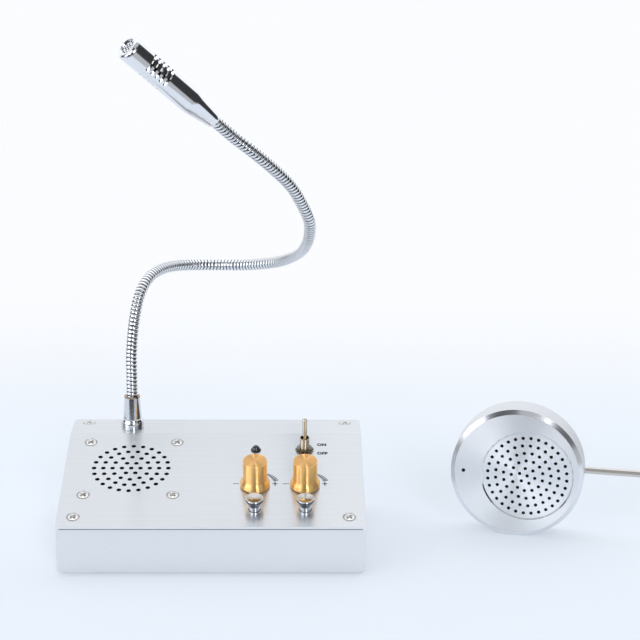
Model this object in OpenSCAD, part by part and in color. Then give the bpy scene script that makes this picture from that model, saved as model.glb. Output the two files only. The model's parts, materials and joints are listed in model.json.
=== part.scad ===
// Counter intercom: a wedge-shaped desk unit with a gooseneck microphone,
// and the round window unit that stands beside it with its stainless tube.
// Origin: centre of the desk unit's footprint, on the surface it stands on.
// +X to the teller's right, +Y away from the teller, +Z up.

/* [Desk case] */
// Width of the top plate, the widest part of the desk unit
case_w = 180; // [160:1:220]
// Length of the sloping control panel, along the slope
panel_len = 93; // [88:1:110]
// Slope of the control panel
panel_slope = 17; // [10:0.5:22]
// Depth of the level band behind the panel
band_d = 27.5; // [24:0.5:40]
// Height of the front wall with the plate on it, without the feet
front_h = 28.5; // [26:0.5:36]
// Thickness of the brushed top plate
plate_t = 1.5; // [1:0.1:2.5]
// Sheet thickness of the case tray
sheet_t = 1.2; // [0.8:0.1:2]
// How far the top plate stands over the tray on each side
overhang = 0.4; // [0.2:0.1:1]
// Bend radius of the tray's bottom edges, outside
tray_r = 3; // [1.5:0.5:5]
// Corner radius of the top plate at the back
plate_r = 3; // [1:0.5:6]
// Height of the rubber feet below the tray
foot_h = 1.2; // [0.8:0.1:4]
// Diameter of the rubber feet
foot_d = 14; // [10:0.5:18]
// Depth of the shallow seats that locate the feet
foot_seat = 0.4; // [0.2:0.1:0.8]
// Distance of the feet from the sides of the case
foot_inset = 16; // [12:1:30]

/* [Screws] */
// Distance of the corner screws from the sides of the case
corner_inset = 9.5; // [9:0.5:14]
// Distance of the front corner screws from the panel's front edge
corner_front = 9.5; // [9:0.5:14]
// Distance of the back corner screws from the back edge
corner_back = 7; // [6.5:0.5:9]
// Diameter of the plate screws' shanks
screw_d = 4; // [3:0.5:4]
// Diameter of the plate screws' heads
head_d = 7.9; // [7:0.1:8.2]
// Length of the plate screws, head included
screw_len = 9; // [8:0.5:14]

/* [Loudspeaker] */
// Place of the loudspeaker from the plate's left edge
speaker_x = 40; // [38:0.5:60]
// Place of the loudspeaker up the slope
speaker_s = 57; // [50:0.5:58]
// Distance between neighbouring loudspeaker screws
speaker_pitch = 53; // [50:0.5:56]
// Side of the loudspeaker's square frame
speaker_side = 64; // [62:0.5:68]
// Depth of the loudspeaker behind its frame
speaker_depth = 27; // [22:1:30]
// Rings of holes round the middle hole of the desk grille
grille_rings = 4; // [2:1:4]
// Distance between the rings of the desk grille
grille_pitch = 5.6; // [5:0.1:6]
// Diameter of the desk grille's holes
grille_hole = 2.8; // [2:0.1:3.4]

/* [Controls] */
// Place of the left row of controls from the plate's left edge
control_x = 115; // [112:0.5:118]
// Distance between the two rows of controls
control_pitch = 29.8; // [26:0.1:33]
// Place of the knobs up the slope
knob_s = 39.5; // [37:0.5:42]
// Place of the mute buttons up the slope
button_s = 17; // [16:0.5:18.5]
// Place of the power lamp and the toggle switch up the slope
switch_s = 75.5; // [73:0.5:78]
// Diameter of a knob's grip
knob_d = 14.5; // [13:0.1:16]
// Diameter of a knob's skirt
skirt_d = 17.8; // [17:0.1:20]
// Height of a knob's top over the panel
knob_h = 18.5; // [16:0.5:22]
// Diameter of the volume shafts
shaft_d = 6; // [5:0.5:6]
// Diameter of a mute button's top
button_d = 10.6; // [9:0.1:12]
// Diameter of a mute button's stem
stem_d = 6.8; // [5.5:0.1:7.5]
// Height of a mute button's top over the panel
button_h = 9; // [8:0.5:12]
// Travel of a mute button
button_travel = 2; // [1:0.1:2]
// Outer diameter of the toggle switch's threaded bush
toggle_bush_d = 6; // [5.5:0.1:7]
// Height of the bush over the panel
toggle_bush_h = 9.5; // [8:0.5:11]
// Length of the toggle lever beyond the bush
lever_len = 12.3; // [9:0.1:16]
// Lean of the toggle lever to the back, where it rests at ON
lever_lean = 12.5; // [8:0.5:14]
// Diameter of the power lamp's lens
lens_d = 5; // [3:0.5:5]

/* [Gooseneck] */
// Place of the gooseneck from the plate's left edge
neck_x = 37.5; // [30:0.5:40]
// Distance of the gooseneck from the back edge of the plate
neck_back = 16; // [12:0.5:17]
// Height of the chromed ferrule
ferrule_h = 21; // [16:0.5:26]
// Diameter of the ferrule's foot
ferrule_d = 14; // [12:0.5:16]
// Diameter of the ferrule's mouth
ferrule_top_d = 9.6; // [9.2:0.1:11]
// Outer diameter of the ribbed neck
neck_d = 7.5; // [6:0.1:7.6]
// Depth of the grooves between the ribs
groove = 0.55; // [0.3:0.05:0.8]
// Diameter of the neck's bore
neck_bore = 3; // [2:0.2:4]
// Distance between the ribs
rib_pitch = 2.4; // [2.2:0.05:4]
// How far the neck goes into the ferrule and into the microphone
neck_seat = 5; // [3:0.5:6]

/* [Microphone] */
// Length of the microphone head
mic_len = 71.2; // [60:0.2:80]
// Diameter of the microphone head
mic_d = 15; // [13:0.5:18]
// Diameter of the head's tail, where the neck goes in
mic_tail_d = 9; // [8.6:0.1:11]
// Length of the tapered tail
mic_taper = 20; // [14:1:26]
// Wall of the microphone head
mic_wall = 1.4; // [1:0.1:2]
// Rings of saw cuts round the head
slot_rows = 5; // [3:1:6]
// Saw cuts in a ring
slot_count = 3; // [2:1:3]
// Distance between the rings of saw cuts
slot_pitch = 3.45; // [3:0.05:4]
// Width of a saw cut along the head
slot_w = 1.6; // [1:0.1:2]

/* [Window unit] */
// Diameter of the window unit
puck_d = 81; // [76:1:90]
// Thickness of the window unit
puck_t = 19.5; // [17:0.5:26]
// Place of the window unit's face to the right of the desk unit's middle
puck_x = 184; // [160:1:240]
// Place of the window unit's face behind the desk unit's middle
puck_y = 2.5; // [-20:0.5:40]
// Turn of the window unit towards the teller's left
puck_turn = 12.4; // [0:0.2:30]
// Wall of the window unit
puck_wall = 2.5; // [2:0.1:3.5]
// Width of the polished bevel round the face
bevel = 2.6; // [1:0.1:4]
// Diameter of the pressed-in grille
insert_d = 55; // [54:0.5:56]
// Offset of the grille from the middle of the face, to the right
insert_x = 6.5; // [5:0.1:8]
// Offset of the grille from the middle of the face, downwards
insert_drop = 1; // [0:0.1:3]
// Roll of the hole pattern in the face
insert_roll = 14.8; // [0:0.1:30]
// Distance between the rings of the window grille
puck_pitch = 4.83; // [4.5:0.01:4.9]
// Diameter of the window grille's holes
puck_hole = 2.1; // [1.6:0.1:2.6]
// Rings of holes round the middle hole of the window grille
puck_rings = 5; // [3:1:5]
// Holes that each ring of the window grille has more than the ring inside it
puck_ring_gain = 6.35; // [6:0.05:6.4]
// Distance of the microphone's hole from the rim
puck_mic_inset = 8; // [7.6:0.1:8.8]
// Diameter of the stainless tube
tube_d = 4.2; // [4:0.1:6]
// Bore of the stainless tube
tube_bore = 3; // [2:0.1:3.4]
// Length of the tube outside the window unit
tube_len = 120; // [60:1:200]
// Distance of the tube behind the face
tube_back = 12.5; // [11:0.1:13.5]
// Height of the tube over the middle of the face
tube_rise = 1.4; // [0:0.1:3]

/* [Hidden] */
$fn = 48;

// Clearances and small overlaps of the cutting tools
slip = 0.05;
free = 0.3;
foot_slip = 0.15;
cut = 1;

// Case
case_d = panel_len * cos(panel_slope) + band_d;
front_top = foot_h + front_h;
back_top = front_top + panel_len * sin(panel_slope);
fold_y = case_d / 2 - band_d;
tray_w = case_w - 2 * overhang;
tray_d = case_d - 2 * overhang;
tray_top = -plate_t - sheet_t;
tab_w = 15;
tab_reach = 7;
nut_h = 3.2;
nut_d = 7.5;
screw_hole = screw_d + 1.2;
recess_l = head_d * 0.58;
recess_w = 1;
recess_depth = 1.5;

// Loudspeaker
cloth_t = 0.6;
flange_t = 1.5;
frame_corner = 8;
speaker_opening = 54;
magnet_d = 36;
magnet_h = 9;
basket_low_d = 32;
basket_wall = 1;
voice_d = 20;
corner_spots = [[-1, -1], [1, -1], [1, 1], [-1, 1]];

// Controls
knob_gap = 0.8;
knob_rim = 1.4;
flare_h = 4.6;
knob_hollow_d = 13;
knob_hollow_h = 5;
volume_bush_d = 7;
volume_bush_h = 4.6;
volume_body_d = 16.5;
volume_body_h = 9;
volume_nut_af = 10;
volume_nut_h = 2;
volume_washer_d = 12;
washer_t = 0.5;
grub_d = 3;
grub_h = 10.5;
grub_depth = 0.8;
button_body_w = 10;
stem_below = 4;
board_t = 1.6;
board_depth = plate_t + volume_body_h;
toggle_nut_af = 8;
toggle_nut_h = 2;
toggle_washer_d = 11.2;
toggle_body = [13, 8, 10];
lever_tip_d = 3.1;
lever_root_d = 2.3;
lever_pivot = toggle_bush_h - 4.5;
toggle_ball_d = 4.4;
lever_mouth_d = 3;
bezel_d = 7;
bezel_wall = 0.7;
lens_h = 3.4;

// Rear sockets
socket_h = 14;
dc_x = 45;
jack_x = 70;
dc_thread_d = 8;
dc_bore = 5.5;
dc_depth = 9.5;
jack_thread_d = 6;
jack_bore = 3.6;
jack_depth = 14;
jack_x_left = case_w / 2;
socket_out = 2.6;
socket_nut_t = 2;

// Circuit board on the tray floor
floor_z = foot_h + sheet_t;
standoff_h = 6;
main_w = 88;
main_d = 66;
main_x = -18;
main_y = -40;
board_hole = 3.2;
board_inset = 4;

// Microphone head, along its own axis from the tail
MIC_AXIS = unit([-0.63, -0.46, 0.63]);
MIC_TAIL = [3, -40, 263.5];
cap_t = 5;
cap_skin = 2;
spigot_wall = 0.6;
cap_round = 2.2;
cap_dish_d = 9.6;
cap_dish = 0.8;
cap_hole = 1.3;
cap_pitch = 1.75;
capsule_d = 9.7;
capsule_h = 5;
slot_from_tip = 14.7;
slot_arc = 87;
slot_turn = 92.5;

// Gooseneck route: round points, with straight ends of more than a tube's diameter
neck_px = neck_x - case_w / 2;
neck_py = case_d / 2 - neck_back;
ferrule_top = back_top + ferrule_h;
neck_start = ferrule_top - neck_seat;
straight = 9;
NECK_ROUTE = concat(
    [for (i = [0:2]) [neck_px, neck_py, neck_start + i * straight]],
    [[-52.5, 44, 106], [-51, 50, 124], [-48, 60, 138.5], [-43, 73, 146], [-36, 88, 148],
     [-27, 101.5, 147], [-15, 112, 145], [0, 116, 144], [15, 112, 145], [28, 103, 148],
     [39, 93, 152], [47, 80, 158], [52, 63, 165], [55, 45, 173], [57, 28, 182.5],
     [57, 13, 195], [52.5, 3, 207.5], [46, -7, 220], [37, -16.5, 231], [26, -25.5, 242]],
    [for (i = [-1:1]) MIC_TAIL + (neck_seat * (i == 1 ? 1 : 0) + i * straight - straight) * MIC_AXIS]);
neck_sides = 8;
route_steps = 10;
ROUTE = smooth_route(NECK_ROUTE, route_steps);
ROUTE_LEN = running_lengths(ROUTE);
neck_len = ROUTE_LEN[len(ROUTE_LEN) - 1];
ribs = round(neck_len / rib_pitch);
RINGS = [for (i = [0:2 * ribs]) point_at(i / 2 * neck_len / ribs)];
TANGENTS = [for (i = [0:2 * ribs]) ring_tangent(i)];
SIDES_X = carried_sides();
bore_every = 6;
flex_ribs = 12;
flex_1 = 9;
flex_2 = round(ribs * 0.36);
flex_3 = round(ribs * 0.83);

// Window unit
face_t = 3;
insert_sink = 0.8;
insert_t = 1;
insert_ledge = 1.2;
cover_t = 1.5;
boss_d = 5.5;
boss_r = puck_d / 2 - 6;
puck_mic_x = puck_d / 2 - puck_mic_inset;
BOSS_ANGLES = [75, 195, 315];
cover_screw_d = 2.9;
cover_head_d = 5;
mic_hole_d = 2.4;
puck_mic_d = 6;
puck_sleeve_d = 8.4;
puck_speaker_d = 49;
puck_speaker_h = 11;
collar_af = 8;
collar_t = 3;
collar_gap = 0.7;
grommet_d = 6;
grommet_t = 4;
lead_hole = 2;

// Vector helpers
function unit(v) = v / norm(v);
function last(list) = list[len(list) - 1];

// Catmull-Rom curve through the points, each span in a number of steps
function spline(a, b, c, d, t) =
    0.5 * (2 * b + (c - a) * t + (2 * a - 5 * b + 4 * c - d) * t * t
    + (3 * b - a - 3 * c + d) * t * t * t);
function smooth_route(p, steps) = let (
    q = concat([2 * p[0] - p[1]], p, [2 * last(p) - p[len(p) - 2]]))
    concat([for (i = [0:len(p) - 2]) for (k = [0:steps - 1])
        spline(q[i], q[i + 1], q[i + 2], q[i + 3], k / steps)], [last(p)]);
function running_lengths(p) =
    [for (i = 0, s = 0; i < len(p); s = s + (i < len(p) - 1 ? norm(p[i + 1] - p[i]) : 0),
        i = i + 1) s];
function span_of(s, lo, hi) = hi - lo <= 1 ? lo
    : let (mid = floor((lo + hi) / 2)) ROUTE_LEN[mid] <= s ? span_of(s, mid, hi) : span_of(s, lo, mid);
function point_at(s) = let (
    i = span_of(s, 0, len(ROUTE) - 1),
    t = (s - ROUTE_LEN[i]) / (ROUTE_LEN[i + 1] - ROUTE_LEN[i]))
    ROUTE[i] + t * (ROUTE[i + 1] - ROUTE[i]);
function ring_tangent(i) = i == 0 ? [0, 0, 1]
    : i == 2 * ribs ? MIC_AXIS
    : unit(RINGS[i + 1] - RINGS[i - 1]);
// The side direction of each ring, carried along the neck without twist
function square_to(v, t) = unit(v - (v * t) * t);
function carried_sides() =
    [for (i = 0, v = [1, 0, 0]; i <= 2 * ribs;
        i = i + 1, v = i <= 2 * ribs ? square_to(v, TANGENTS[i]) : v) v];
function ring_points(i, r) = let (x = SIDES_X[i], y = cross(TANGENTS[i], SIDES_X[i]))
    [for (k = [0:neck_sides - 1]) let (a = 360 * k / neck_sides)
        RINGS[i] + r * (cos(a) * x + sin(a) * y)];
function ring_radius(i) = neck_d / 2 - (i % 2 == 0 ? groove : 0);

// Hole places on rings round a middle hole: six more holes in each ring
function ring_spots(rings, pitch, gain = 6) = concat([[0, 0]],
    [for (k = [1:rings]) let (n = round(gain * k))
        for (i = [0:n - 1]) k * pitch * [cos(360 * i / n), sin(360 * i / n)]]);

// Place on the sloping panel: x from the left edge, s up the slope, z out of the panel
module on_panel(x, s, up = 0) {
    translate([x - case_w / 2, -case_d / 2, front_top])
        rotate([panel_slope, 0, 0])
            translate([0, s, up])
                children();
}

// Place on the level band: x from the left edge, b from the back edge
module on_band(x, b, up = 0) {
    translate([x - case_w / 2, case_d / 2 - b, back_top + up]) children();
}

// Place on the back wall: z points out of the wall
module on_back(x, z) {
    translate([x, tray_d / 2, floor_z + z]) rotate([-90, 0, 0]) children();
}

// Place on the window unit's face: z out of the face, x to the right, y up
module on_puck() {
    translate([puck_x, puck_y, puck_d / 2])
        rotate([0, 0, -puck_turn])
            rotate([90, 0, 0])
                children();
}

// Place on the microphone's axis, z from the tail to the tip
module on_mic() {
    translate(MIC_TAIL)
        rotate([0, acos(MIC_AXIS[2]), atan2(MIC_AXIS[1], MIC_AXIS[0])])
            children();
}

module at_corner_screws() {
    for (x = [corner_inset, case_w - corner_inset]) {
        on_panel(x, corner_front) children();
        on_band(x, corner_back) children();
    }
}

module at_speaker_screws() {
    for (c = corner_spots)
        on_panel(speaker_x + c[0] * speaker_pitch / 2, speaker_s + c[1] * speaker_pitch / 2)
            children();
}

module at_controls(s) {
    for (i = [0, 1]) on_panel(control_x + i * control_pitch, s) children();
}

module rounded_square(w, d, r) {
    square([w - 2 * r, d], center = true);
    square([w, d - 2 * r], center = true);
    for (c = corner_spots) translate([c[0] * (w / 2 - r), c[1] * (d / 2 - r)]) circle(r);
}

module hex(af, h) {
    cylinder(d = af / cos(30), h = h, $fn = 6);
}

// Solid wedge of the case, pulled in by a margin, with its top a depth below the plate's top
module wedge(margin, bottom, depth, r) {
    front = -case_d / 2 + margin;
    side_w = case_w - 2 * margin;
    fold = fold_y + depth * tan(panel_slope / 2);
    front_z = front_top + margin * tan(panel_slope) - depth / cos(panel_slope);
    intersection() {
        translate([-side_w / 2, 0, 0])
            rotate([90, 0, 90])
                linear_extrude(side_w)
                    polygon([[front, bottom], [front, front_z], [fold, back_top - depth],
                        [case_d / 2 - margin, back_top - depth], [case_d / 2 - margin, bottom]]);
        translate([0, case_d, 0])
            rotate([90, 0, 0])
                linear_extrude(2 * case_d) {
                    translate([-side_w / 2, bottom + r]) square([side_w, back_top]);
                    translate([-side_w / 2 + r, bottom]) square([side_w - 2 * r, back_top]);
                    for (m = [-1, 1]) translate([m * (side_w / 2 - r), bottom + r]) circle(r);
                }
    }
}

// Head cone, shank and cross recess; z = 0 is the plate's top
module plate_screw() {
    difference() {
        union() {
            translate([0, 0, -head_h()]) cylinder(d1 = screw_d, d2 = head_d, h = head_h());
            translate([0, 0, -screw_len]) cylinder(d = screw_d, h = screw_len - head_h() / 2);
        }
        for (a = [0, 90])
            rotate([0, 0, a + 45])
                translate([-recess_l / 2, -recess_w / 2, -recess_depth])
                    cube([recess_l, recess_w, recess_depth + cut]);
    }
}

// A flat head rises by as much as its radius grows, at 45 degrees
function head_h() = (head_d - screw_d) / 2;

// Hole for a flat-head screw in the plate; z = 0 is the plate's top
module screw_seat() {
    translate([0, 0, -head_h()])
        cylinder(d1 = screw_d + 2 * slip, d2 = head_d + 2 * slip, h = head_h());
    translate([0, 0, -screw_len]) cylinder(d = screw_hole, h = screw_len);
    cylinder(d = head_d + 2 * slip, h = cut);
}

module case_tray() {
    color("silver")
    difference() {
        wedge(overhang, foot_h, plate_t, tray_r);
        difference() {
            wedge(overhang + sheet_t, floor_z, -plate_t, tray_r - sheet_t);
            tray_tabs();
        }
        at_corner_screws() translate([0, 0, -screw_len]) cylinder(d = screw_hole, h = screw_len);
        at_feet() translate([0, 0, -cut]) cylinder(d = foot_d + 2 * foot_slip, h = foot_seat + cut);
        on_back(dc_x, socket_h) translate([0, 0, -sheet_t - cut])
            cylinder(d = dc_thread_d + 2 * slip, h = sheet_t + 2 * cut);
        on_back(jack_x, socket_h) translate([0, 0, -sheet_t - cut])
            cylinder(d = jack_thread_d + 2 * slip, h = sheet_t + 2 * cut);
    }
}

// Four folded tabs that carry the plate's corner screws
module tray_tabs() {
    for (x = [corner_inset, case_w - corner_inset]) {
        on_panel(x, 0, tray_top) translate([-tab_w / 2, -cut, 0])
            cube([tab_w, corner_front + tab_reach + cut, sheet_t]);
        on_band(x, 0, tray_top) translate([-tab_w / 2, -corner_back - tab_reach, 0])
            cube([tab_w, corner_back + tab_reach + cut, sheet_t]);
    }
}

module top_plate() {
    color("gainsboro")
    difference() {
        intersection() {
            plate_sheet();
            linear_extrude(2 * back_top) plate_outline();
        }
        at_corner_screws() screw_seat();
        at_speaker_screws() screw_seat();
        on_panel(speaker_x, speaker_s, -2 * plate_t)
            for (p = ring_spots(grille_rings, grille_pitch))
                translate([p[0], p[1], 0]) cylinder(d = grille_hole, h = 3 * plate_t);
        at_controls(knob_s) plate_hole(volume_bush_d + 2 * slip);
        at_controls(button_s) plate_hole(stem_d + 2 * free);
        on_panel(control_x + control_pitch, switch_s) plate_hole(toggle_bush_d + 2 * slip);
        on_panel(control_x, switch_s) plate_hole(bezel_d - 1);
        on_band(neck_x, neck_back) plate_hole(neck_stem_d() + 2 * slip);
    }
}

module plate_hole(d) {
    translate([0, 0, -2 * plate_t]) cylinder(d = d, h = 3 * plate_t);
}

// The bent sheet, wider than the plate, with its front edge cut square to the slope
module plate_sheet() {
    front = -case_d / 2;
    bend = fold_y + plate_t * tan(panel_slope / 2);
    translate([-case_w, 0, 0])
        rotate([90, 0, 90])
            linear_extrude(2 * case_w)
                polygon([[front, front_top], [fold_y, back_top], [case_d, back_top],
                    [case_d, back_top - plate_t], [bend, back_top - plate_t],
                    [front + plate_t * sin(panel_slope), front_top - plate_t * cos(panel_slope)]]);
}

// Plan of the plate: square front corners, round back corners
module plate_outline() {
    translate([-case_w / 2, -case_d]) square([case_w, 1.5 * case_d - plate_r]);
    translate([-case_w / 2 + plate_r, -case_d]) square([case_w - 2 * plate_r, 1.5 * case_d]);
    for (m = [-1, 1]) translate([m * (case_w / 2 - plate_r), case_d / 2 - plate_r]) circle(plate_r);
}

module clinch_nuts() {
    color("gray")
    at_corner_screws()
        translate([0, 0, tray_top - nut_h])
            difference() {
                cylinder(d = nut_d, h = nut_h);
                translate([0, 0, -cut]) cylinder(d = screw_d + 2 * slip, h = nut_h + 2 * cut);
            }
}

module corner_screws() {
    color("lightgray") at_corner_screws() plate_screw();
}

module rubber_feet() {
    color("dimgray") at_feet() translate([0, 0, -foot_h]) cylinder(d = foot_d, h = foot_h + foot_seat);
}

// Place of each foot on the tray's underside
module at_feet() {
    for (c = corner_spots)
        translate([c[0] * (case_w / 2 - foot_inset), c[1] * (case_d / 2 - foot_inset), foot_h])
            children();
}

module speaker_holes(h) {
    for (c = corner_spots)
        translate([c[0] * speaker_pitch / 2, c[1] * speaker_pitch / 2, -cut])
            cylinder(d = screw_hole, h = h + 2 * cut);
}

module speaker_cloth() {
    color("black")
    on_panel(speaker_x, speaker_s, -plate_t - cloth_t)
        difference() {
            linear_extrude(cloth_t) rounded_square(speaker_side, speaker_side, frame_corner);
            speaker_holes(cloth_t);
        }
}

// Pressed basket: a square flange, a ribbed cone with four windows and a seat for the magnet
module speaker_basket() {
    low = -flange_t - speaker_depth + magnet_h;
    color("slategray")
    on_panel(speaker_x, speaker_s, -plate_t - cloth_t)
        difference() {
            union() {
                translate([0, 0, -flange_t])
                    linear_extrude(flange_t)
                        rounded_square(speaker_side, speaker_side, frame_corner);
                translate([0, 0, low])
                    cylinder(d1 = basket_low_d, d2 = speaker_opening + 2 * basket_wall,
                        h = -flange_t - low);
            }
            translate([0, 0, low + basket_wall])
                cylinder(d1 = basket_low_d - 2 * basket_wall, d2 = speaker_opening,
                    h = -low - basket_wall - flange_t);
            translate([0, 0, -flange_t - slip]) cylinder(d = speaker_opening, h = flange_t + cut);
            translate([0, 0, low - cut]) cylinder(d = voice_d + 2 * free, h = 2 * basket_wall + cut);
            translate([0, 0, -flange_t]) speaker_holes(flange_t);
            for (a = [0:90:270]) rotate([0, 0, a])
                translate([basket_low_d / 2, -7, low + 4]) cube([speaker_opening, 14, 9]);
        }
}

module speaker_cone() {
    top = -flange_t;
    depth = speaker_depth - magnet_h - flange_t - basket_wall - 2 * free;
    color("black")
    on_panel(speaker_x, speaker_s, -plate_t - cloth_t)
        rotate_extrude()
            polygon([[0, -depth + 3], [4, -depth + 2.6], [7, -depth + 1], [8.6, -depth],
                [9.8, -depth], [23, top - 1], [speaker_opening / 2 - slip - 1.2, top - 1],
                [speaker_opening / 2 - slip, top], [speaker_opening / 2 - slip, top + 0.5],
                [speaker_opening / 2 - slip - 1.6, top], [22.4, top],
                [9.4, -depth + 1.2], [7.4, -depth + 2], [4.2, -depth + 3.5], [0, -depth + 3.9]]);
}

module speaker_magnet() {
    color("darkgray")
    on_panel(speaker_x, speaker_s, -plate_t - cloth_t - flange_t - speaker_depth)
        union() {
            cylinder(d = magnet_d - 4, h = 2);
            translate([0, 0, 2]) cylinder(d = magnet_d, h = magnet_h - 2);
        }
}

module speaker_screws() {
    color("lightgray") at_speaker_screws() plate_screw();
}

module speaker_nuts() {
    color("gray")
    at_speaker_screws()
        translate([0, 0, -plate_t - cloth_t - flange_t - nut_h])
            difference() {
                hex(7, nut_h);
                translate([0, 0, -cut]) cylinder(d = screw_d + 2 * slip, h = nut_h + 2 * cut);
            }
}

function neck_stem_d() = neck_d + 2.5;
stem_len = plate_t + 7;

// Chromed ferrule: a bell foot, a tapered sleeve and a threaded stem through the band
module neck_ferrule() {
    foot = ferrule_d / 2;
    waist = ferrule_top_d / 2 + 0.9;
    color("gainsboro")
    on_band(neck_x, neck_back)
        rotate_extrude()
            polygon(concat(
                [[neck_stem_d() / 2, -stem_len], [neck_stem_d() / 2, 0], [foot, 0], [foot, 2.6]],
                [for (a = [15:15:90]) [foot - (foot - waist) * (1 - cos(a)), 2.6 + 4 * sin(a)]],
                [[ferrule_top_d / 2, ferrule_h - 1], [neck_d / 2 + free, ferrule_h - 1],
                 [neck_d / 2 + free, ferrule_h - neck_seat - 0.2],
                 [neck_bore / 2, ferrule_h - neck_seat - 0.2], [neck_bore / 2, -stem_len]]));
}

// Thin brass ring at the ferrule's mouth
module neck_seal_ring() {
    color("peru")
    on_band(neck_x, neck_back, ferrule_h - 1)
        difference() {
            cylinder(d = ferrule_top_d + 0.3, h = 1);
            translate([0, 0, -cut]) cylinder(d = neck_d + 2 * slip, h = 1 + 2 * cut);
        }
}

module neck_washer() {
    color("silver")
    on_band(neck_x, neck_back, -plate_t - 1)
        difference() {
            cylinder(d = 17, h = 1);
            translate([0, 0, -cut]) cylinder(d = neck_stem_d() + 2 * slip, h = 1 + 2 * cut);
        }
}

module neck_nut() {
    color("silver")
    on_band(neck_x, neck_back, -plate_t - 1 - 3)
        difference() {
            hex(14, 3);
            translate([0, 0, -cut]) cylinder(d = neck_stem_d() + 2 * slip, h = 3 + 2 * cut);
        }
}

// A stretch of the ribbed neck from one rib to another: a groove and a crest for each rib,
// a smooth bore, and flat ends square to the route
module ribbed_neck(from_rib, to_rib) {
    a = 2 * from_rib;
    b = 2 * to_rib;
    bore_rings = concat([for (i = [a:bore_every:b - 2]) i], [b]);
    outer = b - a + 1;
    inner = len(bore_rings);
    n = neck_sides;
    points = concat(
        [for (i = [a:b]) each ring_points(i, ring_radius(i))],
        [for (i = bore_rings) each ring_points(i, neck_bore / 2)]);
    skin = [for (i = [0:outer - 2]) for (k = [0:n - 1]) let (p = i * n + k, q = i * n + (k + 1) % n)
        each [[p, p + n, q], [q, p + n, q + n]]];
    bore = [for (i = [0:inner - 2]) for (k = [0:n - 1]) let (
        p = (outer + i) * n + k, q = (outer + i) * n + (k + 1) % n)
        each [[p, q, p + n], [q, q + n, p + n]]];
    near_end = [for (k = [0:n - 1]) let (p = k, q = (k + 1) % n)
        each [[p, q, outer * n + p], [q, outer * n + q, outer * n + p]]];
    far = (outer - 1) * n;
    hole = (outer + inner - 1) * n;
    far_end = [for (k = [0:n - 1]) let (p = k, q = (k + 1) % n)
        each [[far + p, hole + p, far + q], [far + q, hole + p, hole + q]]];
    color("silver") polyhedron(points = points, faces = concat(skin, bore, near_end, far_end));
}

module neck_lower() { ribbed_neck(0, flex_1); }
module neck_flex_1() { ribbed_neck(flex_1, flex_1 + flex_ribs); }
module neck_middle() { ribbed_neck(flex_1 + flex_ribs, flex_2); }
module neck_flex_2() { ribbed_neck(flex_2, flex_2 + flex_ribs); }
module neck_upper() { ribbed_neck(flex_2 + flex_ribs, flex_3); }
module neck_flex_3() { ribbed_neck(flex_3, flex_3 + flex_ribs); }
module neck_end() { ribbed_neck(flex_3 + flex_ribs, ribs); }

// Turned head: a tapered tail that takes the neck, a straight barrel with rings of saw cuts.
// Each cut has a flat floor across the wall, and opens the barrel in its middle.
module mic_shell() {
    barrel_top = mic_len - cap_t;
    inner = mic_d / 2 - mic_wall;
    slot_floor = mic_d / 2 * cos(slot_arc / 2);
    color("lightsteelblue")
    on_mic()
        difference() {
            rotate_extrude()
                polygon([[neck_d / 2 + slip, 0], [mic_tail_d / 2, 0], [mic_d / 2, mic_taper],
                    [mic_d / 2, barrel_top], [inner, barrel_top], [inner, mic_taper],
                    [neck_bore / 2 + 1, neck_seat + 4], [neck_bore / 2 + 1, neck_seat + 0.2],
                    [neck_d / 2 + slip, neck_seat + 0.2]]);
            for (r = [0:slot_rows - 1], k = [0:slot_count - 1])
                rotate([0, 0, slot_turn + 360 * k / slot_count])
                    translate([slot_floor, -mic_d / 2,
                        mic_len - slot_from_tip - r * slot_pitch - slot_w / 2])
                        cube([mic_d, mic_d, slot_w]);
        }
}

// Rounded front cap with a dished cluster of holes; its spigot sits inside the shell
module mic_cap() {
    top = mic_len;
    r = mic_d / 2;
    spigot = r - mic_wall - slip;
    socket = spigot - spigot_wall;
    color("gainsboro")
    on_mic()
        difference() {
            rotate_extrude()
                polygon(concat(
                    [[0, top - cap_skin], [socket, top - cap_skin], [socket, top - cap_t - 3],
                     [spigot, top - cap_t - 3], [spigot, top - cap_t], [r, top - cap_t]],
                    [for (a = [0:15:90]) [r - cap_round * (1 - cos(a)), top - cap_round * (1 - sin(a))]],
                    [[0, top]]));
            translate([0, 0, top - cap_dish]) cylinder(d = cap_dish_d, h = cut);
            for (p = ring_spots(2, cap_pitch))
                translate([p[0], p[1], top - cap_skin - cut]) cylinder(d = cap_hole, h = 4, $fn = 16);
        }
}

module mic_capsule() {
    color("darkgray")
    on_mic()
        translate([0, 0, mic_len - cap_skin - capsule_h]) cylinder(d = capsule_d, h = capsule_h);
}

// Rubber cup that holds the capsule behind the cap
module mic_sleeve() {
    socket = mic_d / 2 - mic_wall - spigot_wall - slip;
    low = mic_len - cap_skin - capsule_h;
    color("black")
    on_mic()
        difference() {
            translate([0, 0, low - 1.5]) cylinder(r = socket - slip, h = capsule_h + 1.5);
            translate([0, 0, low]) cylinder(d = capsule_d, h = capsule_h + cut);
            translate([0, 0, low - 2]) cylinder(d = capsule_d / 2, h = 3);
        }
}

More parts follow.
